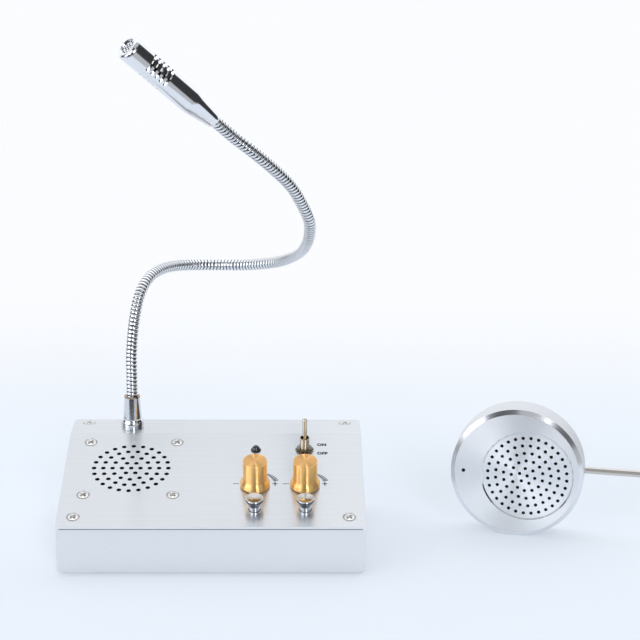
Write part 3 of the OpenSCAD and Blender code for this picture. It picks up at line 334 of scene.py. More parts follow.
@dataclass
class Shaders:
    """Builds and caches one procedural material for each finish and grain axis."""

    made: dict[str, Material] = field(default_factory=dict)

    def get(self, finish: Finish, axis: Optional["Frame"] = None) -> Material:
        """Returns the material of a finish, made on first use.

        Args:
            finish: The finish wanted.
            axis: Frame whose Z the turned grain runs round; None for grain along X.

        Returns:
            A node material.
        """
        turned_grain = finish.grain is Grain.TURNED
        spot = "_".join(f"{c:.0f}" for c in axis.origin) if turned_grain and axis else ""
        name = f"{finish.name}_{spot}".replace("-", "m").rstrip("_")
        if name not in self.made:
            self.made[name] = self._build(name, finish, axis if turned_grain else None)
        return self.made[name]

    def _build(self, name: str, finish: Finish, axis: Optional["Frame"]) -> Material:
        """Makes a material with its nodes.

        Args:
            name: Name of the material.
            finish: Finish that it shows.
            axis: Frame whose Z the grain runs round, or None.

        Returns:
            The material.
        """
        material = bpy.data.materials.new(name)
        material.use_nodes = True
        nodes = Nodes(material.node_tree)
        shader = nodes.add(
            "BsdfPrincipled",
            Base_Color=linear(finish.colour),
            Metallic=finish.metallic,
            Roughness=finish.roughness,
            Anisotropic=finish.anisotropy,
            Anisotropic_Rotation=ACROSS_TANGENT,
            Coat_Weight=finish.coat,
            Coat_Roughness=COAT_ROUGHNESS,
        )
        nodes.add("OutputMaterial", Surface=shader.outputs[0])
        if finish.anisotropy:
            nodes.feed(self._grain_direction(nodes, axis), shader.inputs["Tangent"])
        pattern = self._pattern(nodes, finish, axis)
        normal: Optional[Socket] = None
        if finish.edge:
            bevel = nodes.add("Bevel", samples=BEVEL_SAMPLES, Radius=finish.edge * MM)
            normal = bevel.outputs[0]
        if pattern is not None:
            self._apply_pattern(nodes, finish, pattern, shader)
            if finish.bump:
                bump = nodes.add("Bump", Strength=1.0, Distance=finish.bump * MM, Height=pattern)
                if normal is not None:
                    nodes.feed(normal, bump.inputs["Normal"])
                normal = bump.outputs[0]
        if normal is not None:
            nodes.feed(normal, shader.inputs["Normal"])
        return material

    @staticmethod
    def _from_axis(nodes: Nodes, axis: "Frame") -> Socket:
        """Returns the shaded point measured from the axis frame's origin."""
        point = nodes.add("TexCoord").outputs["Object"]
        return nodes.vector("SUBTRACT", point, tuple(axis.origin * MM))

    def _grain_direction(self, nodes: Nodes, axis: Optional["Frame"]) -> Socket:
        """Finds the direction of the grain.

        Args:
            nodes: The material's nodes.
            axis: Frame whose Z the grain runs round; None for grain along X.

        Returns:
            The direction, in the world.
        """
        if axis is None:
            along = nodes.add("CombineXYZ", X=1.0).outputs[0]
        else:
            offset = self._from_axis(nodes, axis)
            along = nodes.vector("NORMALIZE", nodes.vector("CROSS_PRODUCT", tuple(axis.z), offset))
        turn = nodes.add(
            "VectorTransform",
            Vector=along,
            vector_type="VECTOR",
            convert_from="OBJECT",
            convert_to="WORLD",
        )
        return turn.outputs[0]

    def _pattern(
        self, nodes: Nodes, finish: Finish, axis: Optional["Frame"]
    ) -> Optional[Socket]:
        """Makes the grain's pattern: noise, or rings that depend only on radius and height.

        Args:
            nodes: The material's nodes.
            finish: Finish with the grain.
            axis: Frame whose Z the grain runs round, or None.

        Returns:
            The grain's height from 0 to 1, or None for a plain finish.
        """
        if finish.grain is Grain.NONE:
            return None
        if finish.grain is Grain.TURNED and axis is not None:
            offset = self._from_axis(nodes, axis)
            height = nodes.vector("DOT_PRODUCT", offset, tuple(axis.z))
            cross = nodes.vector("CROSS_PRODUCT", tuple(axis.z), offset)
            spot = nodes.add("CombineXYZ", X=nodes.vector("LENGTH", cross), Y=height)
            scale, detail = RING_SCALE, 2.0
        else:
            coords = nodes.add("TexCoord").outputs["Object"]
            spot = nodes.add("Mapping", Vector=coords, Scale=GRAIN_SCALES[finish.grain])
            scale, detail = 1.0, 3.0
        noise = nodes.add("TexNoise", Vector=spot.outputs[0], Scale=scale, Detail=detail)
        low, high = NOISE_SPREAD
        return nodes.add(
            "MapRange", Value=noise.outputs[0], From_Min=low, From_Max=high
        ).outputs[0]

    @staticmethod
    def _apply_pattern(
        nodes: Nodes, finish: Finish, pattern: Socket, shader: Node
    ) -> None:
        """Lets the grain vary the colour by a few per cent and the roughness by a little.

        Args:
            nodes: The material's nodes.
            finish: Finish with the grain.
            pattern: The grain's height.
            shader: Shader that takes the colour and the roughness.
        """
        depth, base = finish.grain_depth, linear(finish.colour)[:3]
        dark = tuple(c * (1 - GRAIN_DARKENS * depth) for c in base) + (1.0,)
        light = tuple(min(c * (1 + GRAIN_LIGHTENS * depth), 1.0) for c in base) + (1.0,)
        nodes.feed(nodes.mix_colours(pattern, dark, light), shader.inputs["Base Color"])
        spread = GRAIN_ROUGHENS * depth * finish.roughness
        rough = nodes.add(
            "MapRange",
            Value=pattern,
            To_Min=finish.roughness - spread,
            To_Max=finish.roughness + spread,
        )
        nodes.feed(rough.outputs[0], shader.inputs["Roughness"])


# ---------------------------------------------------------------- frames and sizes


def unit(vector: Sequence[float]) -> Array:
    """Returns the vector at unit length."""
    v = np.array(vector, float)
    return v / np.linalg.norm(v)


@dataclass(frozen=True)
class Frame:
    """A local frame in the row frame, in millimetres.

    Attributes:
        origin: Origin in the row frame.
        x: Local X direction.
        y: Local Y direction.
        z: Local Z direction.
    """

    origin: Array
    x: Array
    y: Array
    z: Array

    def place(self, points: Array) -> Array:
        """Takes local points in millimetres to row points in metres."""
        p = np.asarray(points, float)
        return (self.origin + p[:, :1] * self.x + p[:, 1:2] * self.y + p[:, 2:3] * self.z) * MM

    def shifted(self, x: float, y: float) -> "Frame":
        """Returns the frame moved along its own X and Y."""
        return Frame(self.origin + x * self.x + y * self.y, self.x, self.y, self.z)

    def matrix(self) -> Matrix:
        """Turns the frame into a matrix.

        Returns:
            The matrix, in metres.
        """
        m = Matrix.Identity(4)
        for row in range(3):
            for column, axis in enumerate((self.x, self.y, self.z)):
                m[row][column] = float(axis[row])
            m[row][3] = float(self.origin[row]) * MM
        return m


@dataclass(frozen=True)
class Desk:
    """Driving sizes of the desk unit, as in the part's source.

    Places on the panel are x from the left and s up the slope.
    """

    width: float = 180.0
    panel: float = 93.0
    slope: float = math.radians(17.0)
    band: float = 27.5
    foot: float = 1.2
    front: float = 28.5
    speaker: tuple[float, float] = (40.0, 57.0)
    controls: tuple[tuple[str, float], ...] = (("left", 115.0), ("right", 144.8))
    knob_s: float = 39.5
    button_s: float = 17.0
    switch_s: float = 75.5

    @property
    def depth(self) -> float:
        """Depth of the case."""
        return self.panel * math.cos(self.slope) + self.band

    @property
    def front_top(self) -> float:
        """Height of the plate's front edge."""
        return self.foot + self.front

    @property
    def back_top(self) -> float:
        """Height of the level band."""
        return self.front_top + self.panel * math.sin(self.slope)

    def on_panel(self, x: float, s: float, up: float = 0.0) -> Frame:
        """Finds a frame on the sloping panel, with Z out of it.

        Args:
            x: Place from the left.
            s: Place up the slope.
            up: Height over the panel.

        Returns:
            The frame.
        """
        c, d = math.cos(self.slope), math.sin(self.slope)
        origin = np.array(
            [x - self.width / 2, -self.depth / 2 + s * c - up * d, self.front_top + s * d + up * c]
        )
        return Frame(origin, np.array([1.0, 0, 0]), np.array([0, c, d]), np.array([0, -d, c]))

    def on_band(self, x: float, back: float, up: float = 0.0) -> Frame:
        """Frame on the level band, at x from the left and back from the rear edge."""
        origin = np.array([x - self.width / 2, self.depth / 2 - back, self.back_top + up])
        return Frame(origin, *np.eye(3))


DESK = Desk()
PUCK_TURN = math.radians(12.4)
PUCK = Frame(
    np.array([184.0, 2.5, 40.5]),
    np.array([math.cos(PUCK_TURN), -math.sin(PUCK_TURN), 0.0]),
    np.array([0.0, 0.0, 1.0]),
    np.array([-math.sin(PUCK_TURN), -math.cos(PUCK_TURN), 0.0]),
)
PUCK_INSERT = PUCK.shifted(6.5, -1.0)
MIC_AXIS = unit([-0.63, -0.46, 0.63])
MIC_TAIL = np.array([3.0, -40.0, 263.5])
MIC_SIDE = unit(np.cross([0.0, 0.0, 1.0], MIC_AXIS))
MIC = Frame(MIC_TAIL, np.cross(MIC_SIDE, MIC_AXIS), MIC_SIDE, MIC_AXIS)
MIC_LENGTH = 71.2
SQUARE = ((-1, -1), (1, -1), (1, 1), (-1, 1))
BOX_FACES = ((3, 2, 1, 0), (4, 5, 6, 7), (0, 1, 5, 4), (1, 2, 6, 5), (2, 3, 7, 6), (3, 0, 4, 7))
WELD = 1e-7
ON_AXIS = 1e-6
QUARTER = (0.0, math.pi / 2)


# ---------------------------------------------------------------- mesh building


@dataclass
class Surface:
    """Points and faces of one piece.

    Attributes:
        points: Blocks of row points in metres.
        faces: Corner indices of each face.
        slots: Material index of each face.
        count: Number of points so far.
    """

    points: list[Array] = field(default_factory=list)
    faces: list[tuple[int, ...]] = field(default_factory=list)
    slots: list[int] = field(default_factory=list)
    count: int = 0

    def add_points(self, points: Array) -> int:
        """Adds points.

        Args:
            points: Points in metres.

        Returns:
            Index of the first.
        """
        block = np.asarray(points, float).reshape(-1, 3)
        self.points.append(block)
        self.count += len(block)
        return self.count - len(block)

    def add_face(self, corners: Sequence[int], slot: int = 0) -> None:
        """Adds one face with its material index."""
        self.faces.append(tuple(corners))
        self.slots.append(slot)

    def add_grid(
        self,
        rows: Array,
        slot_of: Optional[Callable[[int], int]] = None,
        keep: Optional[Callable[[int, int], bool]] = None,
    ) -> int:
        """Adds rings of points joined by quads; each ring's last point joins its first.

        Args:
            rows: Points in metres, shaped rows by columns by three.
            slot_of: Material index for each strip of quads.
            keep: Whether the quad at (row, column) is made.

        Returns:
            Index of the grid's first point.
        """
        n, m = rows.shape[:2]
        start = self.add_points(rows)
        for i in range(n - 1):
            for j in range(m):
                if keep is None or keep(i, j):
                    k = (j + 1) % m
                    a, d = start + i * m, start + (i + 1) * m
                    self.add_face((a + j, a + k, d + k, d + j), slot_of(i) if slot_of else 0)
        return start

    def add_fan(self, centre: Array, ring: Sequence[int], slot: int, flip: bool) -> None:
        """Closes a ring of points with triangles to its centre.

        Args:
            centre: Centre point in metres.
            ring: Indices of the ring's points, in order.
            slot: Material index.
            flip: Whether the triangles run the other way round.
        """
        hub = self.add_points(centre)
        for a, b in zip(ring, [*ring[1:], ring[0]]):
            self.add_face((b, a, hub) if flip else (a, b, hub), slot)

    def add_box(self, corners: Array) -> None:
        """Adds a box.

        Args:
            corners: Four corners of its lower side in order, then the upper four, in metres.
        """
        base = self.add_points(corners)
        for face in BOX_FACES:
            self.add_face([base + corner for corner in face])

    def build(
        self, name: str, materials: Sequence[Material], angle: float = 35.0
    ) -> Object:
        """Makes the Blender object, with points that meet welded.

        Args:
            name: Unique name of the piece.
            materials: Materials in slot order.
            angle: Edges sharper than this many degrees stay sharp.

        Returns:
            The object, at the origin.
        """
        mesh = bpy.data.meshes.new(name)
        mesh.from_pydata(np.concatenate(self.points).tolist(), [], self.faces)
        for material in materials:
            mesh.materials.append(material)
        mesh.polygons.foreach_set("material_index", self.slots)
        weld = bmesh.new()
        weld.from_mesh(mesh)
        bmesh.ops.remove_doubles(weld, verts=weld.verts, dist=WELD)
        weld.to_mesh(mesh)
        weld.free()
        smooth(mesh, angle)
        obj = bpy.data.objects.new(name, mesh)
        bpy.context.scene.collection.objects.link(obj)
        return obj


def smooth(mesh: Mesh, angle: float) -> None:
    """Shades a mesh smooth and keeps its sharp edges.

    Args:
        mesh: The mesh.
        angle: Edges sharper than this many degrees stay sharp.
    """
    mesh.shade_smooth()
    mesh.set_sharp_from_angle(angle=math.radians(angle))
    mesh.update()


def ring_rows(profile: Profile, at: Frame, segments: int) -> Array:
    """Rings of points round a frame's Z axis.

    Args:
        profile: (radius, height) of each ring in millimetres.
        at: Frame whose Z is the axis.
        segments: Points in a ring.

    Returns:
        Points in metres, shaped rings by segments by three.
    """
    angles = np.arange(segments) / segments * math.tau
    ring = np.stack([np.cos(angles), np.sin(angles)], axis=1)
    return np.array(
        [at.place(np.column_stack([ring * r, np.full(segments, z)])) for r, z in profile]
    )


def turned(
    profile: Profile, at: Frame, segments: int = 96, slot_of: Optional[Callable[[int], int]] = None
) -> Surface:
    """Turns a profile round a frame's Z axis.

    The profile runs up the outside and down the inside. A first or last point on the axis
    closes that end; a profile whose ends meet gives a closed ring.

    Args:
        profile: (radius, height) of each point in millimetres.
        at: Frame whose Z is the axis.
        segments: Points round the axis.
        slot_of: Material index of each strip between two profile points.

    Returns:
        The closed surface.
    """

    def slot(strip: int) -> int:
        """Material index of a strip."""
        return slot_of(strip) if slot_of else 0

    surface = Surface()
    first = int(profile[0][0] < ON_AXIS)
    last = len(profile) - int(profile[-1][0] < ON_AXIS)
    rows = ring_rows(profile[first:last], at, segments)
    start = surface.add_grid(rows, lambda strip: slot(strip + first))
    if first:
        hub = at.place(np.array([[0.0, 0.0, profile[0][1]]]))
        surface.add_fan(hub, range(start, start + segments), slot(0), True)
    if last < len(profile):
        tail = start + (len(rows) - 1) * segments
        hub = at.place(np.array([[0.0, 0.0, profile[-1][1]]]))
        surface.add_fan(hub, range(tail, tail + segments), slot(len(profile) - 2), False)
    return surface


def arc(
    centre: tuple[float, float], reach: tuple[float, float], span: tuple[float, float], count: int
) -> Profile:
    """Draws a part of an ellipse as a profile.

    Args:
        centre: Radius and height of its middle.
        reach: Its half axes across and up.
        span: First and last angle in radians, from straight out.
        count: Number of points.

    Returns:
        The points.
    """
    return [
        (centre[0] + reach[0] * math.cos(a), centre[1] + reach[1] * math.sin(a))
        for a in np.linspace(*span, count)
    ]


def rounded(corners: Sequence[tuple[float, float, float]], steps: int = 5) -> Profile:
    """Rounds a profile's corners.

    Args:
        corners: (radius, height, fillet) for each corner; a fillet of 0 keeps it sharp.
        steps: Points on each fillet.

    Returns:
        The profile with each fillet as a short quadratic curve.
    """
    out: Profile = []
    for i, (r, z, fillet) in enumerate(corners):
        if fillet <= 0 or i in (0, len(corners) - 1):
            out.append((r, z))
            continue
        here = np.array([r, z])
        before = np.array(corners[i - 1][:2]) - here
        after = np.array(corners[i + 1][:2]) - here
        cut = min(fillet, 0.48 * np.linalg.norm(before), 0.48 * np.linalg.norm(after))
        a = here + before / np.linalg.norm(before) * cut
        b = here + after / np.linalg.norm(after) * cut
        for t in np.linspace(0, 1, steps):
            p = (1 - t) ** 2 * a + 2 * t * (1 - t) * here + t * t * b
            out.append((float(p[0]), float(p[1])))
    return out


@dataclass
class Shop:
    """Makes pieces and hangs each on its CAD body."""

    shaders: Shaders
    bodies: dict[str, str] = field(init=False)
    slots: dict[str, str] = field(init=False)

    def __post_init__(self) -> None:
        """Reads the bodies and the slots from the frame's record."""
        record = frame["record"]
        groups = record["behaviour"]["bodies"].items()
        self.bodies = {node: body for body, nodes in groups for node in nodes}
        self.slots = {part["node"]: part["material_slot"] for part in record["subparts"]}

    def put(self, obj: Object, node: str, stands_for: Iterable[str] = ()) -> None:
        """Rides a piece on the body of a CAD node.

        Args:
            obj: The piece, in place.
            node: CAD node whose body it takes.
            stands_for: CAD nodes that it replaces.
        """
        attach(obj, self.bodies[node])
        for other in stands_for:
            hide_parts(other)
        LOG.info("piece %s rides on %s", obj.name, self.bodies[node])

    def turn(
        self,
        node: str,
        profile: Profile,
        at: Frame,
        *finishes: Finish,
        segments: int = 96,
        slot_of: Optional[Callable[[int], int]] = None,
    ) -> None:
        """Replaces a CAD node by a finely turned piece.

        Args:
            node: CAD node that the piece stands for.
            profile: (radius, height) of each point in millimetres.
            at: Frame whose Z is the axis.
            *finishes: Finishes in slot order.
            segments: Points round the axis.
            slot_of: Finish of each strip between two profile points.
        """
        surface = turned(profile, at, segments, slot_of)
        obj = surface.build(f"{node}_turned", [self.shaders.get(f, at) for f in finishes])
        self.put(obj, node, [node])


# ---------------------------------------------------------------- the pieces


@dataclass
class Builder:
    """A group of pieces that belong together."""

    shop: Shop

    def build(self) -> None:
        """Makes the group's pieces."""
        raise NotImplementedError


@dataclass
class PlainNodes(Builder):
    """Gives every CAD node its finish, paints shade in small holes and a highlight on the plate's
    front edge, and draws the shadow line under the plate.

    Faces are given to a further material slot; no point or face of a CAD mesh changes.
    """

    turned_axes: tuple[tuple[str, Frame], ...] = (
        ("mic_cap", MIC), ("mic_shell", MIC), ("puck_grille", PUCK),
        ("puck_back_cover", PUCK), ("puck_body", PUCK),
    )  # fmt: skip
    bores: tuple[tuple[str, Frame, float], ...] = (
        ("top_plate", DESK.on_panel(*DESK.speaker), 24.0),
        ("puck_grille", PUCK_INSERT, 26.5),
        ("mic_cap", MIC, 4.7),
    )
    wall_facing: float = 0.3
    edge_zone: float = 1.0
    edge_facing: float = 0.95
    seam_half: float = 88.0
    seam_inset: float = 0.37
    seam_deep: float = 0.3
    seam_heights: tuple[float, float] = (27.9, 28.3)

    def build(self) -> None:
        """Finishes the CAD nodes in place."""
        axes = dict(self.turned_axes)
        for name, obj in sorted(frame["nodes"].items()):
            material = self.shop.shaders.get(CAD_FINISHES[name], axes.get(name))
            obj.data.materials.clear()
            obj.data.materials.append(material)
            LOG.info("finish %s on %s", material.name, name)
        # Walls of the grille and cap holes take painted shade.
        for name, at, radius in self.bores:
            self._paint_bore_shade(frame["nodes"][name].data, at, radius)
        self._paint_edge_highlight(frame["nodes"]["top_plate"].data)
        self._draw_seam()

    def _add_slot(self, mesh: Mesh, finish: Finish) -> int:
        """Adds a finish to a mesh and returns its slot."""
        mesh.materials.append(self.shop.shaders.get(finish))
        return len(mesh.materials) - 1

    def _paint_edge_highlight(self, plate: Mesh) -> None:
        """Gives the plate's cut front edge an unbrushed finish in a lighter colour, a painted
        highlight.

        Args:
            plate: Mesh of the top plate.
        """
        slot = self._add_slot(plate, Finishes.EDGE_PAINTED_HIGHLIGHT)
        down_slope = -DESK.on_panel(0, 0).y
        for polygon in plate.polygons:
            at_front = polygon.center.y / MM < -DESK.depth / 2 + self.edge_zone
            if at_front and np.array(polygon.normal) @ down_slope > self.edge_facing:
                polygon.material_index = slot

    def _draw_seam(self) -> None:
        """Draws the photograph's shadow line under the plate's front edge as a dark strip."""
        x, front = self.seam_half, -DESK.depth / 2 + self.seam_inset
        back = front + self.seam_deep
        ring = ((-x, front), (x, front), (x, back), (-x, back))
        corners = [(a, b, height) for height in self.seam_heights for a, b in ring]
        surface = Surface()
        surface.add_box(np.array(corners) * MM)
        seam = surface.build("front_seam_painted_shadow", [self.shop.shaders.get(Finishes.SEAM_PAINTED_SHADOW)])
        self.shop.put(seam, "case_tray")

    def _paint_bore_shade(self, mesh: Mesh, at: Frame, radius: float) -> None:
        """Paints shade on the walls of the small holes round a frame's Z axis, in a near black
        finish.

        Args:
            mesh: Mesh of the CAD node with the holes.
            at: Frame whose Z runs along the holes.
            radius: Distance from the axis within which walls count, in millimetres.
        """
        slot = self._add_slot(mesh, Finishes.BORE_PAINTED_SHADE)
        for polygon in mesh.polygons:
            local = np.array(polygon.center) / MM - at.origin
            near = math.hypot(local @ at.x, local @ at.y) < radius
            if near and abs(np.array(polygon.normal) @ at.z) < self.wall_facing:
                polygon.material_index = slot


@dataclass
class Neck(Builder):
    """The gooseneck: a chromed spiral swept along the route, in seven stretches.

    The CAD neck is slightly thicker and eight-sided, and its ribs are plain rings.
    Its grooves take a dark metal colour as painted shade.
    """

    start: tuple[float, float, float] = (-52.5, 42.218, 72.891)
    straight: float = 9.0
    seat: float = 5.0
    points: tuple[tuple[float, float, float], ...] = (
        (-52.5, 44, 106), (-51, 50, 124), (-48, 60, 138.5), (-43, 73, 146), (-36, 88, 148),
        (-27, 101.5, 147), (-15, 112, 145), (0, 116, 144), (15, 112, 145), (28, 103, 148),
        (39, 93, 152), (47, 80, 158), (52, 63, 165), (55, 45, 173), (57, 28, 182.5),
        (57, 13, 195), (52.5, 3, 207.5), (46, -7, 220), (37, -16.5, 231), (26, -25.5, 242),
    )  # fmt: skip
    steps: int = 10
    pitch: float = 2.4
    crest: float = 3.62
    root: float = 3.2
    fullness: float = 0.55
    bore: float = 1.5
    sides: int = 28
    per_rib: int = 12
    groove_share: float = 0.15
    flex_ribs: int = 12
    first_flex: int = 9
    flex_at: tuple[float, float] = (0.36, 0.83)
    crease: float = 70.0
    nodes: tuple[str, ...] = (
        "neck_lower", "neck_flex_1", "neck_middle", "neck_flex_2",
        "neck_upper", "neck_flex_3", "neck_end",
    )  # fmt: skip

    def __post_init__(self) -> None:
        """Works out the route, the number of ribs and the frames along the neck."""
        self.route = self._smooth_route()
        gaps = np.linalg.norm(np.diff(self.route, axis=0), axis=1)
        self.lengths = np.concatenate([[0.0], np.cumsum(gaps)])
        self.total = float(self.lengths[-1])
        self.ribs = round(self.total / self.pitch)
        self._carry_frames()

    def _smooth_route(self) -> Array:
        """Runs a Catmull-Rom curve through the route's points.

        Returns:
            Points along the curve, in millimetres.
        """
        up = np.array([0.0, 0.0, 1.0])
        start = [np.array(self.start) + i * self.straight * up for i in range(3)]
        end = [MIC_TAIL + d * MIC_AXIS for d in (-2 * self.straight, -self.straight, self.seat)]
        p = np.array(start + [np.array(q, float) for q in self.points] + end)
        q = np.vstack([2 * p[0] - p[1], p, 2 * p[-1] - p[-2]])
        out = []
        for i in range(len(p) - 1):
            a, b, c, d = q[i : i + 4]
            for t in (k / self.steps for k in range(self.steps)):
                square = (2 * a - 5 * b + 4 * c - d) * t * t
                cube = (3 * b - a - 3 * c + d) * t**3
                out.append(0.5 * (2 * b + (c - a) * t + square + cube))
        return np.array(out + [p[-1]])

    def _carry_frames(self) -> None:
        """Finds the centre and the untwisted side directions at every ring of the neck."""
        s = np.linspace(0, self.total, self.ribs * self.per_rib + 1)
        self.centres = np.column_stack(
            [np.interp(s, self.lengths, self.route[:, k]) for k in range(3)]
        )
        tangents = np.gradient(self.centres, axis=0)
        tangents /= np.linalg.norm(tangents, axis=1)[:, None]
        side = np.array([1.0, 0.0, 0.0])
        self.across = np.empty_like(tangents)
        for i, t in enumerate(tangents):
            side = unit(side - (side @ t) * t)
            self.across[i] = side
        self.ups = np.cross(tangents, self.across)

    def _stretch(self, name: str, first: int, last: int) -> Object:
        """Makes one stretch from rib to rib, with its bore and flat ends.

        The skin's radius is root + (crest - root) * |sin(pi * phase)| ** fullness, where the
        phase runs once per rib along the neck and once per turn round it, so the ribs wind.

        Args:
            name: Name of the piece.
            first: Rib at which it starts.
            last: Rib at which it ends.

        Returns:
            The piece.
        """
        index = np.arange(first * self.per_rib, last * self.per_rib + 1)
        angles = np.arange(self.sides) / self.sides * math.tau
        phase = index[:, None] / self.per_rib + angles[None, :] / math.tau
        swell = np.abs(np.sin(math.pi * phase)) ** self.fullness
        radius = self.root + (self.crest - self.root) * swell
        spoke = (
            self.across[index][:, None, :] * np.cos(angles)[None, :, None]
            + self.ups[index][:, None, :] * np.sin(angles)[None, :, None]
        )
        centre = self.centres[index][:, None, :]
        outer = (centre + spoke * radius[:, :, None]) * MM
        bore = (centre + spoke * self.bore)[::-1] * MM
        surface = Surface()
        surface.add_grid(np.concatenate([outer, bore, outer[:1]]))
        half_face = 0.5 * (1 / self.per_rib + 1 / self.sides)
        off = np.abs((phase[:-1] + half_face + 0.5) % 1.0 - 0.5).ravel()
        # Faces in the grooves take the dark colour as painted shade.
        surface.slots[: off.size] = [int(value < self.groove_share) for value in off]
        finishes = [self.shop.shaders.get(f) for f in (Finishes.NECK, Finishes.GROOVE_PAINTED_SHADE)]
        return surface.build(name, finishes, self.crease)

    def build(self) -> None:
        """Makes the seven stretches; the three short ones hide their CAD nodes and ride on no body.
        """
        marks = [0]
        for rib in (self.first_flex, *(round(self.ribs * share) for share in self.flex_at)):
            marks += [rib, rib + self.flex_ribs]
        marks.append(self.ribs)
        for i, node in enumerate(self.nodes):
            obj = self._stretch(f"{node}_spiral", marks[i], marks[i + 1])
            if "flex" not in node:
                self.shop.put(obj, node, [node])
                continue
            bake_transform(obj)
            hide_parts(node)


@dataclass
class Ferrule(Builder):
    """Chromed bell ferrule on the level band, turned with soft edges."""

    x: float = 37.5
    back: float = 16.0
    foot: float = 7.0
    waist: float = 5.7
    top: float = 4.8
    stem: float = 5.0
    bore: float = 1.5
    mouth: float = 4.05
    bell_low: float = 2.6
    bell_high: float = 4.0
    height: float = 20.0
    seat: float = 15.8
    below: float = -8.5

    def build(self) -> None:
        """Makes the ferrule's skin over its stem."""
        reach = (self.foot - self.waist, self.bell_high)
        bell = arc((self.waist, self.bell_low), reach, QUARTER, 10)
        stem = [(self.bore, self.below), (self.stem, self.below), (self.stem, 0.0)]
        foot = [(self.foot - 0.2, 0.0), (self.foot, 0.2)]
        mouth = [(self.top, self.height), (self.mouth, self.height), (self.mouth, self.seat)]
        bore = [(self.bore, self.seat), (self.bore, self.below)]
        at = DESK.on_band(self.x, self.back)
        self.shop.turn("neck_ferrule", stem + foot + bell + mouth + bore, at, Finishes.FERRULE)


@dataclass
class Knobs(Builder):
    """Two gold volume knobs: a straight grip that flares into a skirt, hollow below."""

    grip: float = 7.25
    skirt: float = 8.9
    skirt_top: float = 2.2
    flare: float = 4.6
    height: float = 18.5
    shaft: float = 3.05
    shaft_top: float = 15.5
    boss: float = 5.0
    hollow: float = 6.5
    inset: float = 0.8
    rim: float = 8.5
    face_points: int = 4
    segments: int = 128

    def build(self) -> None:
        """Turns both knobs; a step in the material marks the turned top."""
        middle, reach = (self.skirt + self.grip) / 2, (self.skirt - self.grip) / 2
        flare = [
            (middle + reach * math.cos(a), self.skirt_top + self.flare * a / math.pi)
            for a in np.linspace(0, math.pi, 17)
        ]
        lower = rounded(
            [(0, self.shaft_top, 0), (self.shaft, self.shaft_top, 0), (self.shaft, self.boss, 0),
             (self.hollow, self.boss, 0), (self.hollow, self.inset, 0), (self.rim, self.inset, 0),
             (self.skirt, 1.2, 0.1), (self.skirt, self.skirt_top, 0)]
        )  # fmt: skip
        edge = [(self.grip, 18.1), (self.grip - 0.12, 18.38)]
        top = [(r, self.height) for r in (self.grip - 0.4, 4.8, 2.4, 0)]
        profile = lower + flare[1:] + edge + top
        face = len(profile) - self.face_points
        for side, x in DESK.controls:
            self.shop.turn(
                f"knob_{side}", profile, DESK.on_panel(x, DESK.knob_s), Finishes.GOLD,
                Finishes.GOLD_TOP, segments=self.segments, slot_of=lambda strip: int(strip >= face),
            )  # fmt: skip


@dataclass
class Buttons(Builder):
    """Two chromed mute buttons with rounded rims and dished tops.

    The CAD buttons are domed. The dish makes the tops mirror the knobs, as the photograph's do.
    The flanks take a dark chrome and the dishes a dimmer chrome: both are painted shade.
    """

    radius: float = 5.3
    stem: float = 3.4
    shoulder: float = 7.9
    rounding: float = 0.5
    flank: tuple[int, int] = (2, 8)
    dish_from: int = 11

    def _slot(self, strip: int) -> int:
        """Slot of a strip: 0 for chrome, 1 for the flank's painted shade, 2 for the dish's painted
        shade.
        """
        low, high = self.flank
        return int(low < strip < high) + 2 * int(strip > self.dish_from)

    def build(self) -> None:
        """Turns both buttons."""
        r, stem = self.radius, self.stem
        fillet = self.rounding
        rim = arc((r - fillet, self.shoulder), (fillet, fillet), QUARTER, 8)
        foot = [(0.0, -4.0), (stem, -4.0), (stem, 2.9), (stem + 0.05, 3.1)]
        flank = [(r - 0.3, 6.3), (r - 0.05, 6.75), (r, 7.1)]
        dish = [(r - 1.2, 8.27), (3.2, 8.14), (2.0, 7.97), (1.0, 7.86), (0.0, 7.82)]
        for side, x in DESK.controls:
            # The flank and the dish take darker chromes as painted shade.
            self.shop.turn(
                f"button_{side}", foot + flank + rim + dish, DESK.on_panel(x, DESK.button_s),
                Finishes.CHROME, Finishes.FLANK_CHROME_PAINTED_SHADE, Finishes.DISH_CHROME_PAINTED_SHADE,
                slot_of=self._slot,
            )  # fmt: skip


